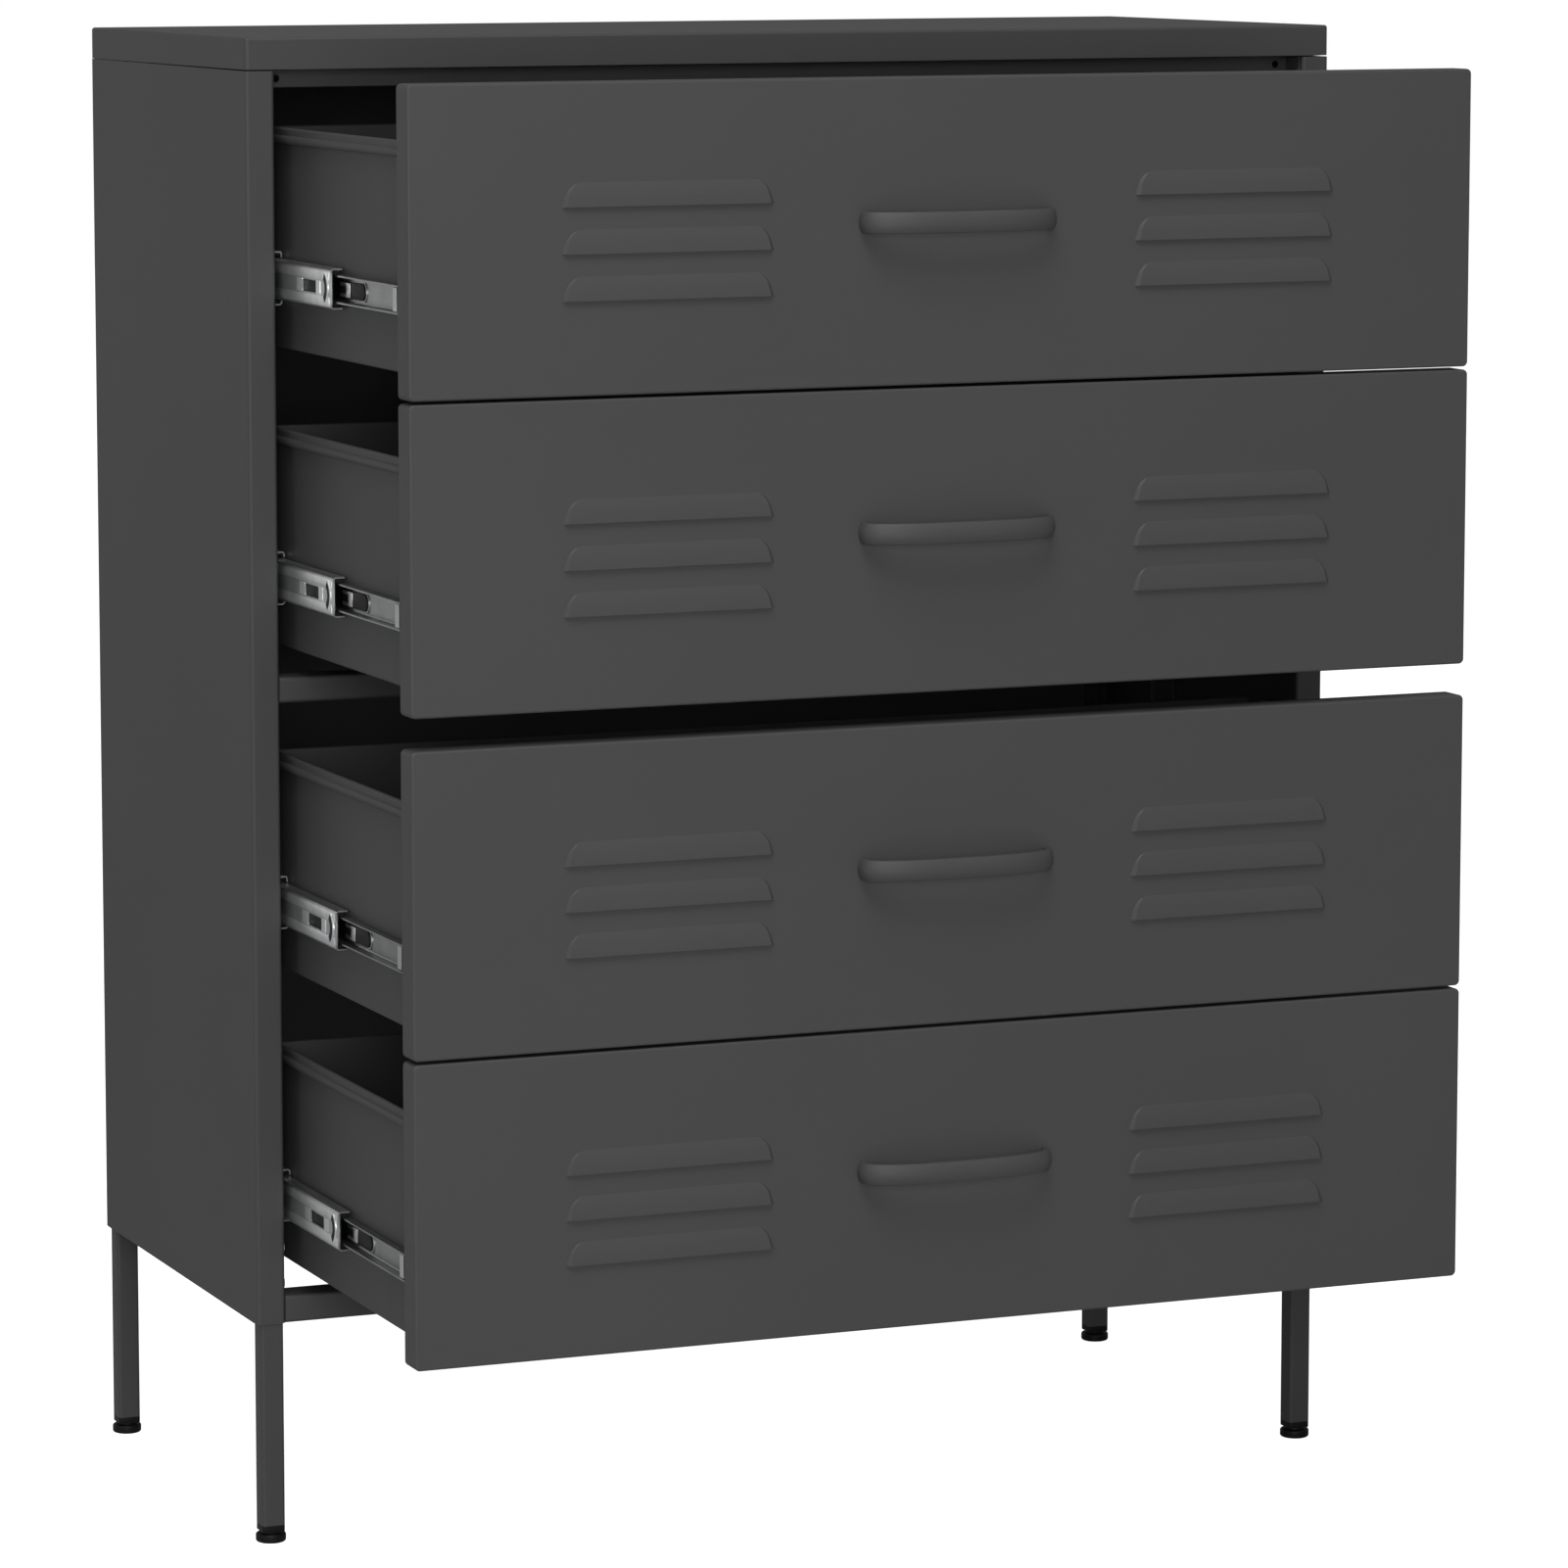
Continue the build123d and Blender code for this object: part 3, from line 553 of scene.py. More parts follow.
def folded_edges():
    """Geometry nodes that shade a tessellated solid smooth across its bends and sharp at its edges."""
    name = "folded_edges"
    if name in bpy.data.node_groups:
        return bpy.data.node_groups[name]
    group = bpy.data.node_groups.new(name, "GeometryNodeTree")
    group.interface.new_socket("Geometry", in_out="INPUT", socket_type="NodeSocketGeometry")
    group.interface.new_socket("Geometry", in_out="OUTPUT", socket_type="NodeSocketGeometry")
    source = add_node(group, "NodeGroupInput").outputs["Geometry"]
    joined = add_node(group, "GeometryNodeMergeByDistance", {"Distance": WELD}, {"Geometry": source})
    angle = add_node(group, "GeometryNodeInputMeshEdgeAngle").outputs["Unsigned Angle"]
    flat = add_node(group, "FunctionNodeCompare", {"operation": "LESS_THAN", "B": BEND_ANGLE}, {"A": angle})
    faces = add_node(
        group, "GeometryNodeSetShadeSmooth", {"domain": "FACE"}, {"Geometry": joined.outputs["Geometry"]}
    )
    edges = add_node(
        group, "GeometryNodeSetShadeSmooth", {"domain": "EDGE"},
        {"Geometry": faces.outputs["Geometry"], "Shade Smooth": flat.outputs["Result"]}
    )
    add_node(group, "NodeGroupOutput", links={"Geometry": edges.outputs["Geometry"]})
    return group


def weigh_flats(thing):
    """Let large flat faces set the shading at their rims."""
    weights = thing.modifiers.new("flat_faces_first", "WEIGHTED_NORMAL")
    weights.keep_sharp = True


def part_bends(thing):
    """Shade round bends smooth and corners sharp."""
    bends = thing.modifiers.new("bends", "NODES")
    bends.node_group = folded_edges()


def smooth_bends(thing):
    """Shade bends smooth and flats flat."""
    part_bends(thing)
    weigh_flats(thing)


def soften(piece, width, segments=2):
    """Round the edges of a piece and smooth what is round."""
    edge = piece.modifiers.new("softened", "BEVEL")
    edge.width = width
    edge.segments = segments
    edge.limit_method = "ANGLE"
    edge.angle_limit = CORNER_ANGLE
    part_bends(piece)


def dress(node, material):
    """Give a CAD node its finish and smooth bends, its mesh left as it is."""
    solid = NODES[node]
    solid.data.materials.clear()
    solid.data.materials.append(material)
    smooth_bends(solid)


def mesh_object(name, work, material):
    """Turn finished bmesh work into an object of the scene."""
    mesh = bpy.data.meshes.new(name)
    bmesh.ops.recalc_face_normals(work, faces=work.faces)
    work.to_mesh(mesh)
    work.free()
    mesh.materials.append(material)
    thing = bpy.data.objects.new(name, mesh)
    bpy.context.scene.collection.objects.link(thing)
    return thing


def piece_from(name, work, material, body):
    """Turn finished bmesh work into a piece that rides on a body."""
    piece = mesh_object(name, work, material)
    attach(piece, body)
    return piece


def add_prism(work, outline, place):
    """Prism over an outline of (u, v) points; place turns (u, v, 0 or 1) into a point in metres."""
    low = [work.verts.new(place(u, v, 0)) for u, v in outline]
    high = [work.verts.new(place(u, v, 1)) for u, v in outline]
    work.faces.new(low)
    work.faces.new(list(reversed(high)))
    for i in range(len(outline)):
        j = (i + 1) % len(outline)
        work.faces.new([low[j], low[i], high[i], high[j]])


def layer(web_x, side, depths, centre_z, start_y=0.0):
    """Place of a prism drawn in (y, z) beside a web, between a near and a far depth outside it."""
    near, far = depths
    return lambda u, v, t: Vector((web_x + side * (near + (far - near) * t), start_y + u, centre_z + v))


def drawn_back(start_y, end_y, x=0.0, side=1, centre_z=0.0):
    """Place of a prism whose section is drawn in (x, z) and runs back along Y."""
    return lambda u, v, t: Vector((x + side * u, start_y + (end_y - start_y) * t, centre_z + v))


def outer_face(box, side):
    """X of the face of a box that looks to its side of the cabinet."""
    low, high = box
    return low.x if side < 0 else high.x


def inner_face(box, side):
    """X of the face of a box that looks to the middle of the cabinet."""
    return outer_face(box, -side)


def arc_points(centre_u, centre_v, radius, start, end, steps):
    """Points round an arc, angles in degrees."""
    turns = [math.radians(start + (end - start) * i / steps) for i in range(steps + 1)]
    return [(centre_u + radius * math.cos(t), centre_v + radius * math.sin(t)) for t in turns]


def add_lathe(work, profile, centre, steps=32):
    """Turned form: a profile of (radius, height) points round a vertical axis through centre."""
    rings = []
    for radius, height in profile:
        ring = [
            work.verts.new(centre + Vector((radius * math.cos(t), radius * math.sin(t), height)))
            for t in (math.tau * i / steps for i in range(steps))
        ]
        rings.append(ring)
    for lower, upper in zip(rings, rings[1:]):
        for i in range(steps):
            j = (i + 1) % steps
            work.faces.new([lower[i], lower[j], upper[j], upper[i]])
    work.faces.new(list(reversed(rings[0])))
    work.faces.new(rings[-1])


class CABINET_OT_coat_body(Operator):
    """Powder coat the body sheet, rails, uprights and legs"""

    bl_idname = "cabinet.coat_body"
    bl_label = "Coat body"

    def execute(self, context):
        for node in BODY_SHEET_NODES:
            dress(node, body_coat())
        return {"FINISHED"}


class CABINET_OT_seat_top(Operator):
    """Seat the folded top panel, with the dark groove that shows under its lip"""

    bl_idname = "cabinet.seat_top"
    bl_label = "Seat top"

    def execute(self, context):
        low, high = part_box("top_panel")
        rim_z = high.z - TOP_LIP
        work = bmesh.new()
        work.from_mesh(NODES["top_panel"].data)
        for vert in work.verts:
            depth = min(vert.co.x - low.x, high.x - vert.co.x, vert.co.y - low.y, high.y - vert.co.y)
            if vert.co.z < rim_z + TOP_BEND and depth < TOP_SKIN:
                vert.co.z += context.scene.cabinet_body.top_seam * (1 if vert.co.y < 0 else REAR_SEAM)
        top = piece_from("folded_top", work, body_coat(), "cabinet")
        smooth_bends(top)
        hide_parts("top_panel")
        return {"FINISHED"}


class CABINET_OT_coat_trays(Operator):
    """Powder coat the drawer trays, each with a bead rolled along the foot of its side hems"""

    bl_idname = "cabinet.coat_trays"
    bl_label = "Coat trays"

    def execute(self, context):
        for number in DRAWERS:
            dress(f"drawer_{number}_tray", body_coat())
            self.roll_beads(context.scene.cabinet_body, number)
        return {"FINISHED"}

    def roll_beads(self, settings, number):
        low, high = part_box(f"drawer_{number}_tray")
        half = settings.bead_height / 2
        middle_z = high.z - TRAY_HEM + half
        turns = [math.pi * (i / BEAD_STEPS - 0.5) for i in range(BEAD_STEPS + 1)]
        outline = [(settings.bead_proud * math.cos(turn), half * math.sin(turn)) for turn in turns]
        outline += [(-SUNK, half), (-SUNK, -half)]
        work = bmesh.new()
        for side in SIDES.values():
            hem_x = outer_face((low, high), side)
            add_prism(work, outline, drawn_back(low.y, high.y - TRAY_HEM, hem_x, side, middle_z))
        name = f"drawer_{number}_hem_beads"
        beads = piece_from(name, work, body_coat(), f"drawer_{number}")
        smooth_bends(beads)


class CABINET_OT_press_fronts(Operator):
    """Press the drawer fronts: folded pans whose shallow louvres have leaning ends"""

    bl_idname = "cabinet.press_fronts"
    bl_label = "Press fronts"

    def execute(self, context):
        for number in DRAWERS:
            self.build(context.scene.cabinet_fronts, number, f"drawer_{number}_front")
        return {"FINISHED"}

    def build(self, settings, number, node):
        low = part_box(node)[0]
        sheet_y = low.y + LOUVRE_PROUD
        work = bmesh.new()
        work.from_mesh(NODES[node].data)
        for middle in LOUVRE_COLUMNS:
            for mouth in LOUVRE_MOUTHS:
                self.reshape(work, settings, Vector((middle, sheet_y, low.z + mouth)))
        self.crease(work, sheet_y)
        name = f"drawer_{number}_pressed_front"
        front = piece_from(name, work, front_coat(), f"drawer_{number}")
        weigh_flats(front)
        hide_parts(node)

    def reshape(self, work, settings, place):
        """Flatten one louvre and lean its ends; place is the middle of its mouth on the sheet."""
        for vert in work.verts:
            across, out, rise = vert.co - place
            beside = abs(across) > LOUVRE_LENGTH / 2 + TINY
            if beside or out > FRONT_SHEET + TINY or not -TINY <= rise <= LOUVRE_RISE + TINY:
                continue
            lean = settings.louvre_lean * rise / LOUVRE_RISE
            vert.co.x = place.x + across * (1 - 2 * lean / LOUVRE_LENGTH)
            vert.co.y = place.y + (out * settings.louvre_proud / LOUVRE_PROUD if out < 0 else out)

    def crease(self, work, sheet_y):
        """Mark the sharp edges, and keep the flat sheet's shading apart from that of the louvres."""
        bmesh.ops.remove_doubles(work, verts=work.verts, dist=WELD)
        bmesh.ops.recalc_face_normals(work, faces=work.faces)
        flat = {face for face in work.faces if all(abs(v.co.y - sheet_y) < TINY for v in face.verts)}
        for face in work.faces:
            face.smooth = True
        for edge in work.edges:
            rim = len({face in flat for face in edge.link_faces}) > 1
            edge.smooth = edge.calc_face_angle(0) < BEND_ANGLE and not rim


class CABINET_OT_bend_handles(Operator):
    """Bend the bow handles: a crowned strip that curves back to the sheet at both ends"""

    bl_idname = "cabinet.bend_handles"
    bl_label = "Bend handles"

    def execute(self, context):
        for number in DRAWERS:
            self.build(context.scene.cabinet_fronts, number, f"drawer_{number}_handle")
        return {"FINISHED"}

    def build(self, settings, number, node):
        low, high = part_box(node)
        sheet_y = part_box(f"drawer_{number}_front")[0].y + LOUVRE_PROUD
        middle = Vector(((low.x + high.x) / 2, sheet_y, (low.z + high.z) / 2))
        reach, proud, half = (high.x - low.x) / 2, sheet_y - low.y, (high.z - low.z) / 2
        work = bmesh.new()
        rings = [
            [work.verts.new(middle + point) for point in self.ring(settings, reach, proud, half, turn)]
            for turn in (math.pi * i / HANDLE_STEPS for i in range(HANDLE_STEPS + 1))
        ]
        for near, far in zip(rings, rings[1:]):
            for i in range(len(near)):
                j = (i + 1) % len(near)
                work.faces.new([near[i], near[j], far[j], far[i]])
        work.faces.new(rings[0])
        work.faces.new(list(reversed(rings[-1])))
        bow = piece_from(f"drawer_{number}_bow", work, front_coat(), f"drawer_{number}")
        smooth_bends(bow)
        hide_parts(node)

    def ring(self, settings, reach, proud, half, turn):
        """Section of the bow at one turn round its curve, about the middle of its seat on the sheet."""
        power = settings.handle_squareness
        u = math.copysign(abs(math.cos(turn)) ** (2 / power), math.cos(turn))
        v = abs(math.sin(turn)) ** (2 / power)
        slope_x = math.copysign(abs(u) ** (power - 1), u) / reach
        outward = Vector((slope_x, -v ** (power - 1) / proud, 0)).normalized()
        rim = Vector((u * reach, -v * proud, 0))
        crown, thick = settings.handle_crown, settings.handle_thick
        front, back, shoulder = crown + HANDLE_ROUND, thick - HANDLE_ROUND, half - HANDLE_ROUND
        section = [(crown * k * k, half * k) for k in HANDLE_FACE]
        section += [(front, half), (back, half), (thick, shoulder)]
        section += [(thick, -shoulder), (back, -half), (front, -half)]
        return [rim - outward * depth + Vector((0, 0, height)) for depth, height in section]


class CABINET_OT_plate_slides(Operator):
    """Zinc plate the slide members and the screws"""

    bl_idname = "cabinet.plate_slides"
    bl_label = "Plate slides"

    def execute(self, context):
        for side in SIDES:
            dress(f"slide_outers_{side}", zinc_plate())
            for number in DRAWERS:
                dress(f"slide_{number}_middle_{side}", zinc_plate())
                dress(f"slide_{number}_inner_{side}", dull_zinc())
        dress("cabinet_screws", zinc_plate())
        for number in DRAWERS:
            dress(f"drawer_{number}_fixings", zinc_plate())
        return {"FINISHED"}


def side_box(node, side):
    """Box of the solids of a left and right pair that lie on one side."""
    points = [v.co for v in NODES[node].data.vertices if v.co.x * side > 0]
    low = Vector([min(p[i] for p in points) for i in range(3)])
    high = Vector([max(p[i] for p in points) for i in range(3)])
    return low, high


def track_height(node):
    """Height of one arm of a cage, which fills the track between two members."""
    heights = sorted({round(v.co.z, 6) for v in NODES[node].data.vertices})
    return heights[-1] - heights[-2]


class CABINET_OT_fit_ball_cages(Operator):
    """Build the ball cages of the slides: a nylon strip with two rows of steel balls"""

    bl_idname = "cabinet.fit_ball_cages"
    bl_label = "Fit ball cages"

    def execute(self, context):
        for number in DRAWERS:
            for level in ("outer", "inner"):
                self.build(context.scene.cabinet_slides, f"slide_{number}_{level}", level)
        return {"FINISHED"}

    def build(self, settings, slide, level):
        node, body = f"{slide}_cages", f"{slide}_balls"
        arm = track_height(node)
        strips = bmesh.new()
        balls = bmesh.new()
        for side in SIDES.values():
            box = side_box(node, side)
            self.add_strip(strips, box, side, arm * CAGE_FILL)
            self.add_balls(balls, box, side, arm, settings.balls)
        cage = piece_from(f"{slide}_cage_strips", strips, black_nylon(), body)
        soften(cage, CAGE_EDGE, 1)
        steel = finish_with("bearing_steel", bearing_steel)
        row = piece_from(f"{slide}_cage_balls", balls, steel, body)
        part_bends(row)
        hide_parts(node)

    def add_strip(self, work, box, side, thick):
        """Thin channel of a cage, its arms along the two ball tracks."""
        low, high = box
        outer_x, inner_x = outer_face(box, side), inner_face(box, side)
        web_x = outer_x - side * CAGE_WALL
        outline = [
            (outer_x, low.z), (inner_x, low.z), (inner_x, low.z + thick), (web_x, low.z + thick),
            (web_x, high.z - thick), (inner_x, high.z - thick), (inner_x, high.z), (outer_x, high.z),
        ]
        add_prism(work, outline, drawn_back(low.y, high.y))

    def add_balls(self, work, box, side, arm, count):
        """Two rows of balls, one in each track."""
        low, high = box
        radius = arm / 2
        ball_x = inner_face(box, side) + side * (radius + BALL_SETBACK)
        pitch = (high.y - low.y) / count
        for row_z in (low.z + radius, high.z - radius):
            for i in range(count):
                centre = Vector((ball_x, low.y + pitch * (i + 0.5), row_z))
                bmesh.ops.create_uvsphere(
                    work, u_segments=14, v_segments=8, radius=radius, matrix=Matrix.Translation(centre)
                )


def crescent(centre, radii, half_span):
    """Outline of a curved bar that bulges forward, in (y, z) with y from its centre."""
    inner, outer = radii
    near, far = 180 - half_span, 180 + half_span
    return arc_points(centre, 0, outer, near, far, 10) + arc_points(centre, 0, inner, far, near, 10)


def oblong(front, back, half):
    """Outline of a rectangle about the middle line of a slide, in (y, z)."""
    return [(front, -half), (front, half), (back, half), (back, -half)]


class CABINET_OT_roll_raceways(Operator):
    """Build the raceways, detent pads and crescent ridge of each middle member in a lighter zinc as a
    painted highlight, and a thin black crescent as painted shade in its slot
    """

    bl_idname = "cabinet.roll_raceways"
    bl_label = "Roll raceways"

    def execute(self, context):
        for number in DRAWERS:
            for name, side in SIDES.items():
                self.build(context.scene.cabinet_slides, number, name, side)
        return {"FINISHED"}

    def build(self, settings, number, name, side):
        low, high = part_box(f"slide_{number}_middle_{name}")
        web_x = outer_face((low, high), side)
        centre_z = (low.z + high.z) / 2
        body = f"slide_{number}_middles"

        races = bmesh.new()
        half = settings.raceway_width / 2
        along = drawn_back(low.y + RACE_START, low.y + RACE_END, web_x, side, centre_z)
        shares = [2 * i / RACE_STEPS - 1 for i in range(RACE_STEPS + 1)]
        for middle in (-RACE_OFFSET, RACE_OFFSET):
            outline = [(RACE_CROWN * (1 - s * s), middle + half * s) for s in shares]
            outline += [(-SUNK, middle + half), (-SUNK, middle - half)]
            add_prism(races, outline, along)
        # Painted highlight: the raceways are coloured lighter in place of the reflection off their curved
        # faces
        track = piece_from(f"slide_{number}_raceways_{name}", races, burnished_zinc(), body)
        smooth_bends(track)

        def raised(proud):
            return layer(web_x, side, (-SUNK, proud), centre_z, low.y)

        presses = bmesh.new()
        pads = (
            oblong(WINDOW_START - FRONT_PAD_LENGTH, WINDOW_START - TINY, FRONT_PAD_HALF),
            oblong(WINDOW_END + TINY, WINDOW_END + REAR_PAD_LENGTH, REAR_PAD_HALF),
        )
        for outline in pads:
            add_prism(presses, outline, raised(PAD_PROUD))
        add_prism(presses, crescent(CRESCENT_CENTRE, RIDGE_RADII, RIDGE_SPAN), raised(RIDGE_PROUD))
        # Painted highlight: the pads and ridge are coloured lighter in place of the light that their
        # pressed steps reflect
        detent = piece_from(f"slide_{number}_detent_{name}", presses, burnished_zinc(), body)
        smooth_bends(detent)

        # Painted shade: a thin black crescent of nylon on the web, in place of the shade in the crescent
        # slot
        pad = bmesh.new()
        add_prism(pad, crescent(CRESCENT_CENTRE, SLOT_SHADE_RADII, SLOT_SHADE_SPAN), raised(SLOT_SHADE_PROUD))
        slot_shade = piece_from(f"slide_{number}_bumper_{name}", pad, black_nylon(), body)
        smooth_bends(slot_shade)


class CABINET_OT_fit_latches(Operator):
    """Build the lever, clip and folds of each inner member, and the end stop of each middle one"""

    bl_idname = "cabinet.fit_latches"
    bl_label = "Fit latches"

    def execute(self, context):
        for number in DRAWERS:
            for name, side in SIDES.items():
                self.build(context.scene.cabinet_slides, number, name, side)
        return {"FINISHED"}

    def build(self, settings, number, name, side):
        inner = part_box(f"slide_{number}_inner_{name}")
        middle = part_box(f"slide_{number}_middle_{name}")
        web_x = inner_face(inner, side) + side * MEMBER_SHEET
        centre_z = (inner[0].z + inner[1].z) / 2
        end_y = middle[0].y
        half = settings.lever_height / 2
        nose = end_y + LEVER_TAIL - settings.lever_length
        drawer = f"drawer_{number}"

        lever = bmesh.new()
        self.add_lever(lever, end_y + LEVER_TAIL, nose, half, layer(web_x, side, LEVER_LAYER, centre_z))
        body = piece_from(f"slide_{number}_lever_{name}", lever, black_nylon(), drawer)
        soften(body, LEVER_EDGE)

        clip = bmesh.new()
        self.add_clip(clip, half, layer(web_x, side, CLIP_LAYER, centre_z, end_y))
        spring = piece_from(f"slide_{number}_clip_{name}", clip, zinc_plate(), drawer)
        soften(spring, CLIP_EDGE)

        folds = bmesh.new()
        rim = crescent(nose + half, [half + gap for gap in RIM_GAPS], RIM_SPAN)
        add_prism(folds, rim, layer(web_x, side, RIM_LAYER, centre_z))
        self.add_ear(folds, inner[0].y, web_x, side, centre_z)
        ear = piece_from(f"slide_{number}_ear_{name}", folds, zinc_plate(), drawer)
        soften(ear, FOLD_EDGE, 1)

        stop = bmesh.new()
        self.add_stop(stop, inner, middle, side, centre_z)
        stop_name, middles = f"slide_{number}_end_stop_{name}", f"slide_{number}_middles"
        buffer = piece_from(stop_name, stop, black_nylon(), middles)
        soften(buffer, STOP_EDGE, 1)

    def add_lever(self, work, tail, nose, half, place):
        """Straight bar with a round nose."""
        outline = [(tail, -half), (tail, half)]
        outline += arc_points(nose + half, 0, half, 90, 270, 10)
        add_prism(work, outline, place)

    def add_clip(self, work, half, place):
        """Fork of spring strip that opens to the rear, with a wide bar across its front."""
        back, reach, thick, bar, inset = 1 * MM, 19 * MM, 2.2 * MM, 8 * MM, 0.8 * MM
        tip = back - reach
        grip = half - inset
        outline = [
            (back, grip), (tip, grip), (tip, -grip), (back, -grip),
            (back, thick - grip), (tip + bar, thick - grip),
            (tip + bar, grip - thick), (back, grip - thick),
        ]
        add_prism(work, outline, place)

    def add_ear(self, work, front_y, web_x, side, centre_z):
        """Ear folded up across the front end of the member, and the strip that ties its foot."""
        tall, reach, corner = 7.6 * MM, 5.4 * MM, 1.8 * MM
        ear_y = front_y + 12 * MM
        outline = [(0, -tall)] + arc_points(reach - corner, corner - tall, corner, -90, 0, 4)
        outline += arc_points(reach - corner, tall - corner, corner, 0, 90, 4) + [(0, tall)]
        add_prism(work, outline, drawn_back(ear_y, ear_y + MEMBER_SHEET, web_x, side, centre_z))
        foot_start, foot_end = front_y + 7 * MM, front_y + 14 * MM
        foot = [(foot_start, -tall), (foot_end, -tall), (foot_end, tall), (foot_start, tall)]
        add_prism(work, foot, layer(web_x, side, EAR_FOOT_LAYER, centre_z))

    def add_stop(self, work, inner, middle, side, centre_z):
        """Channel of nylon that lines the mouth of the middle member round the inner one."""
        inset, wall, reach, play = 1.1 * MM, 0.9 * MM, 6 * MM, 0.35 * MM
        start, thick = 0.1 * MM, 1.6 * MM
        rim = (middle[1].z - middle[0].z) / 2 - inset
        throat = (inner[1].z - inner[0].z) / 2 + play
        outside = outer_face(middle, side) - side * inset
        floor, mouth = outside - side * wall, outside - side * reach
        outline = [
            (outside, -rim), (mouth, -rim), (mouth, -throat), (floor, -throat),
            (floor, throat), (mouth, throat), (mouth, rim), (outside, rim),
        ]
        near_y = middle[0].y + start
        add_prism(work, outline, drawn_back(near_y, near_y + thick, centre_z=centre_z))


class CABINET_OT_fit_glides(Operator):
    """Build the four glides: a plug in the tube, a square collar, a neck and a rounded pad"""

    bl_idname = "cabinet.fit_glides"
    bl_label = "Fit glides"

    def execute(self, context):
        pads = bmesh.new()
        plug_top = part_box("feet")[1].z
        for row in ("front", "back"):
            for name in SIDES:
                low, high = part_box(f"leg_{row}_{name}")
                middle = Vector(((low.x + high.x) / 2, (low.y + high.y) / 2, 0))
                half = (high.x - low.x) / 2
                self.add_pad(pads, middle, low.z)
                self.add_block(pads, middle, half, low.z - COLLAR_HEIGHT, low.z)
                self.add_block(pads, middle, half - PLUG_INSET, low.z, plug_top)
        glides = piece_from("glides", pads, black_nylon(), "cabinet")
        soften(glides, GLIDE_EDGE)
        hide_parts("feet")
        return {"FINISHED"}

    def add_pad(self, work, middle, tube_z):
        """Round pad with rolled rims, and the neck above it."""
        core = PAD_RADIUS - PAD_ROLL
        profile = [(core, 0.0)]
        profile += arc_points(core, PAD_ROLL, PAD_ROLL, -75, 0, 5)
        profile += arc_points(core, PAD_TOP - PAD_ROLL, PAD_ROLL, 0, 80, 5)
        neck_top = tube_z - COLLAR_HEIGHT + NECK_OVERLAP
        profile += [(NECK_RADIUS, NECK_START), (NECK_RADIUS, neck_top)]
        add_lathe(work, profile, middle)

    def add_block(self, work, middle, reach, low, high):
        """Square block with round corners: the collar under the tube, or the plug inside it."""
        corner = min(COLLAR_CORNER, reach / 3)
        inset = reach - corner
        outline = []
        for turn, (u, v) in enumerate(((1, 1), (-1, 1), (-1, -1), (1, -1))):
            outline += arc_points(u * inset, v * inset, corner, 90 * turn, 90 * turn + 90, 5)
        add_prism(work, outline, lambda u, v, t: middle + Vector((u, v, low + (high - low) * t)))


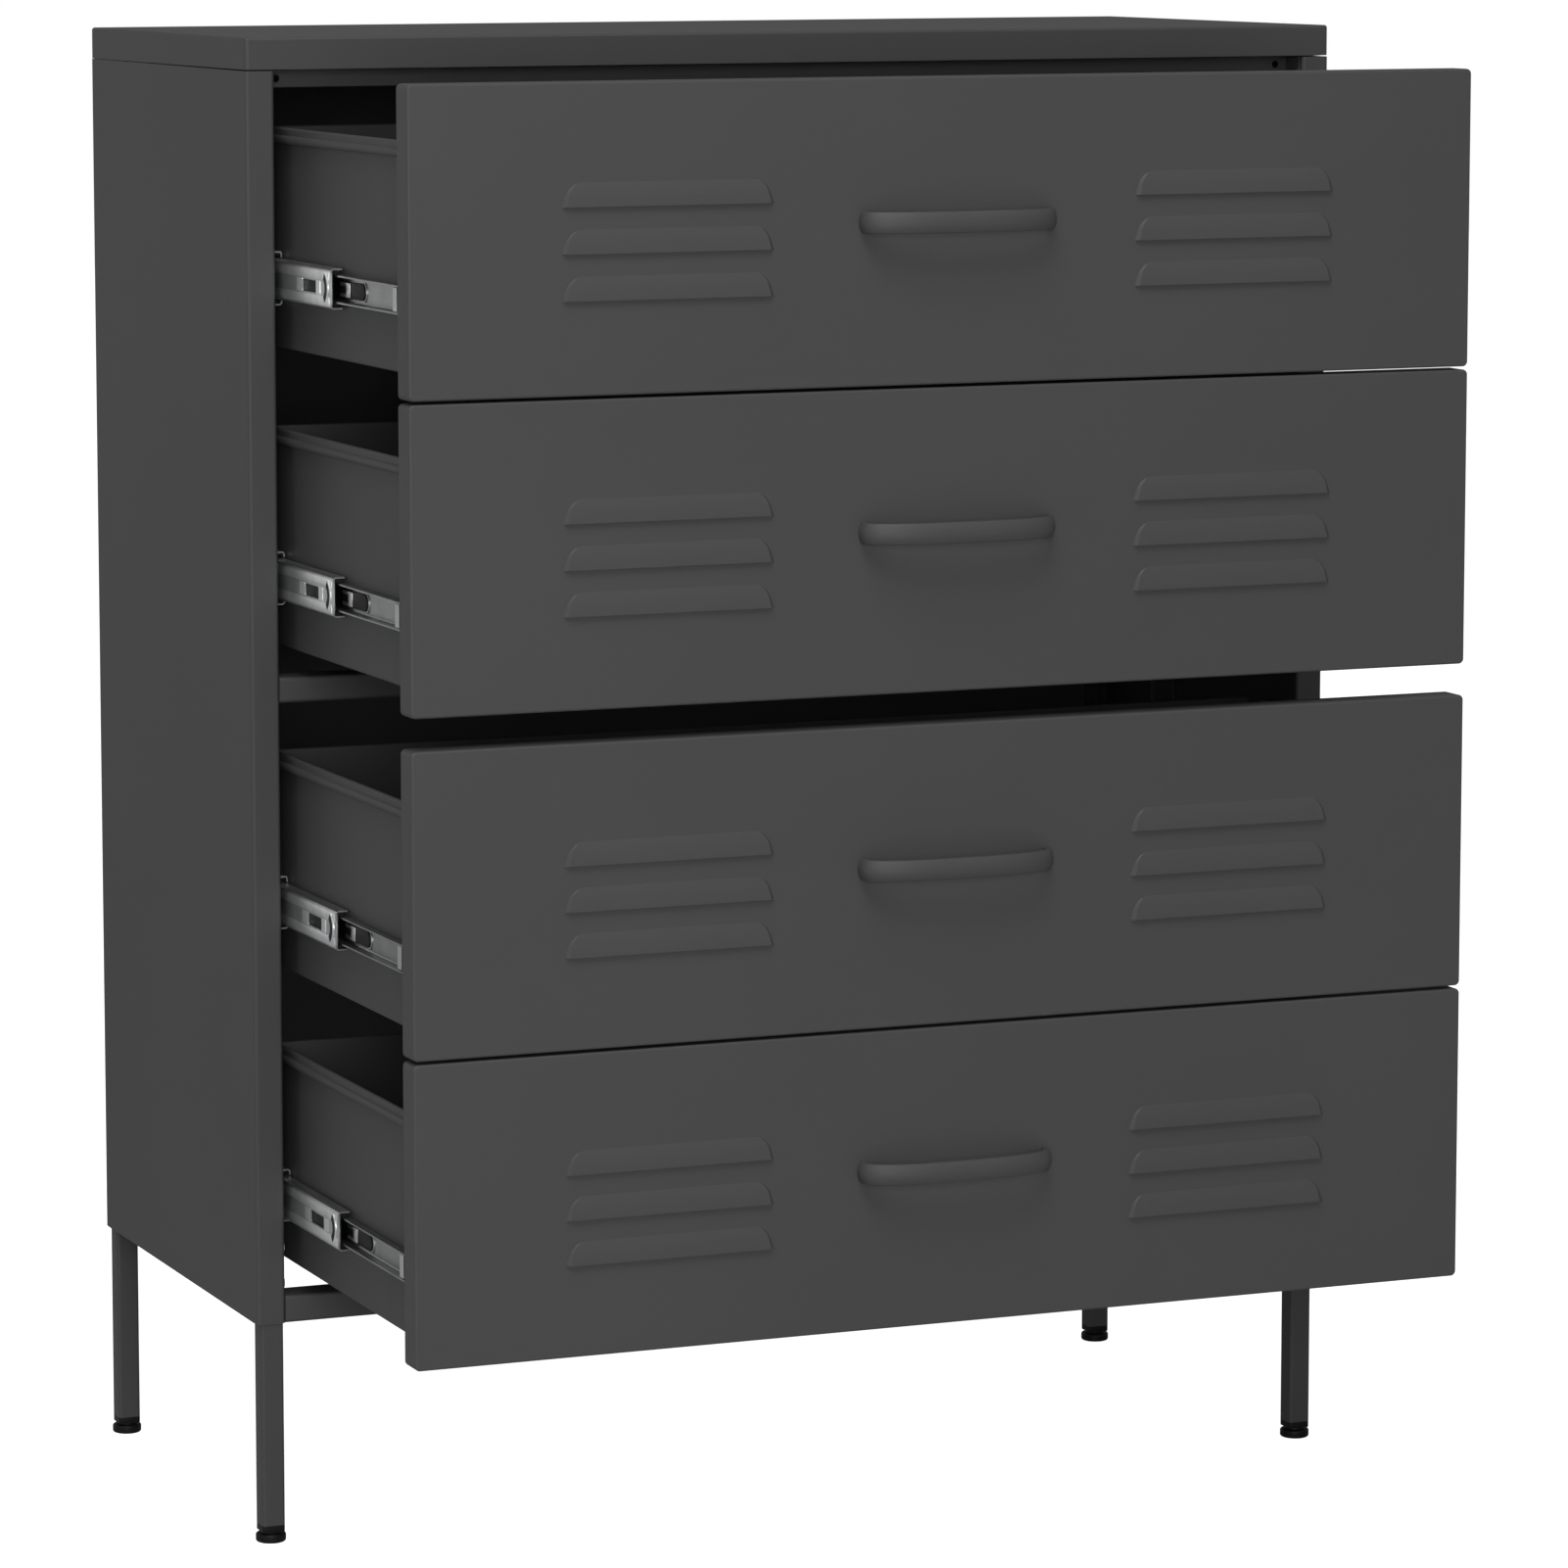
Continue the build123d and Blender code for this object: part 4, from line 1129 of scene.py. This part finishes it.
class CABINET_OT_set_stage(Operator):
    """Set the floor, the soft light and the camera at the photograph's angle"""

    bl_idname = "cabinet.set_stage"
    bl_label = "Set stage"

    def execute(self, context):
        settings = context.scene.cabinet_stage
        self.lay_floor(settings)
        self.light_room(context, settings)
        self.hang_softboxes(context, settings)
        self.place_camera(context, settings)
        context.scene.view_settings.view_transform = "Standard"
        return {"FINISHED"}

    def lay_floor(self, settings):
        white = finish_with("matt_studio_white", matt_studio_white, tuple(settings.floor), settings.glow)
        outline = [(u * FLOOR_REACH, v * FLOOR_REACH) for u, v in ((-1, -1), (1, -1), (1, 1), (-1, 1))]
        work = bmesh.new()
        add_prism(work, outline, lambda u, v, t: Vector((u, v, FLOOR_THICK * (t - 1))))
        floor = mesh_object("studio_floor", work, white)

    def light_room(self, context, settings):
        """White room: pure white to the camera, and a weaker even light to everything else."""
        world = bpy.data.worlds.new("white_room")
        world.use_nodes = True
        tree = world.node_tree
        tree.nodes.clear()
        seen = add_node(tree, "ShaderNodeLightPath").outputs["Is Camera Ray"]
        strength = add_node(
            tree, "ShaderNodeMapRange", {"To Min": settings.sky, "To Max": 1.0}, {"Value": seen}
        )
        sky = add_node(
            tree, "ShaderNodeBackground", {"Color": (1, 1, 1, 1)}, {"Strength": strength.outputs["Result"]}
        )
        add_node(tree, "ShaderNodeOutputWorld", links={"Surface": sky.outputs["Background"]})
        context.scene.world = world

    def hang_softboxes(self, context, settings):
        """Softboxes by name, place in metres, width in metres and power in watts."""
        softboxes = (
            ("high_softbox", (-1.0, -2.1, 4.5), 2.4, settings.key),
            ("side_softbox", (-4.3, -1.0, 0.9), 1.8, settings.side),
            ("fill_softbox", (-1.7, -4.6, 1.3), 1.8, settings.fill),
            ("white_card", (-2.0, 3.8, 0.8), 2.2, settings.card),
        )
        for name, place, size, power in softboxes:
            data = bpy.data.lights.new(name, "AREA")
            data.shape = "SQUARE"
            data.size = size
            data.energy = power
            light = bpy.data.objects.new(name, data)
            light.location = place
            light.rotation_euler = (LIGHTS_AIM - light.location).to_track_quat("-Z", "Y").to_euler()
            context.scene.collection.objects.link(light)

    def place_camera(self, context, settings):
        data = bpy.data.cameras.new("camera")
        data.sensor_width = SENSOR_WIDTH
        data.lens = settings.focal_length
        data.shift_x, data.shift_y = CAMERA_SHIFT
        data.clip_end = CAMERA_REACH
        camera = bpy.data.objects.new("camera", data)
        camera.location = CAMERA_PLACE
        aim = Euler((math.pi / 2 + CAMERA_PITCH, 0, -CAMERA_YAW), "XYZ").to_matrix()
        camera.rotation_euler = (aim @ Matrix.Rotation(-CAMERA_ROLL, 3, "Z")).to_euler()
        context.scene.collection.objects.link(camera)
        context.scene.camera = camera


class CABINET_PT_panel(Panel):
    """Sizes, colours and steps of the cabinet"""

    bl_idname = "CABINET_PT_panel"
    bl_label = "Steel drawer cabinet"
    bl_space_type = "VIEW_3D"
    bl_region_type = "UI"
    bl_category = "Cabinet"

    def draw(self, context):
        layout = self.layout
        for group in (getattr(context.scene, name) for name in GROUPS):
            box = layout.box()
            for name in group.bl_rna.properties.keys():
                if name not in ("rna_type", "name"):
                    box.prop(group, name)
        for step in STEPS:
            layout.operator(step.bl_idname)


GROUPS = {
    "cabinet_paint": CABINET_PG_paint,
    "cabinet_body": CABINET_PG_body,
    "cabinet_fronts": CABINET_PG_fronts,
    "cabinet_slides": CABINET_PG_slides,
    "cabinet_stage": CABINET_PG_stage,
}
STEPS = [
    CABINET_OT_coat_body,
    CABINET_OT_seat_top,
    CABINET_OT_coat_trays,
    CABINET_OT_press_fronts,
    CABINET_OT_bend_handles,
    CABINET_OT_plate_slides,
    CABINET_OT_fit_ball_cages,
    CABINET_OT_roll_raceways,
    CABINET_OT_fit_latches,
    CABINET_OT_fit_glides,
    CABINET_OT_set_stage,
]
CLASSES = [*GROUPS.values(), *STEPS, CABINET_PT_panel]


def register():
    for kind in CLASSES:
        bpy.utils.register_class(kind)
    for name, kind in GROUPS.items():
        setattr(bpy.types.Scene, name, PointerProperty(type=kind))


def unregister():
    for name in GROUPS:
        delattr(bpy.types.Scene, name)
    for kind in reversed(CLASSES):
        bpy.utils.unregister_class(kind)


def main():
    """Register the add-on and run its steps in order."""
    register()
    for step in STEPS:
        area, call = step.bl_idname.split(".")
        getattr(getattr(bpy.ops, area), call)()


if __name__ == "__main__":
    main()
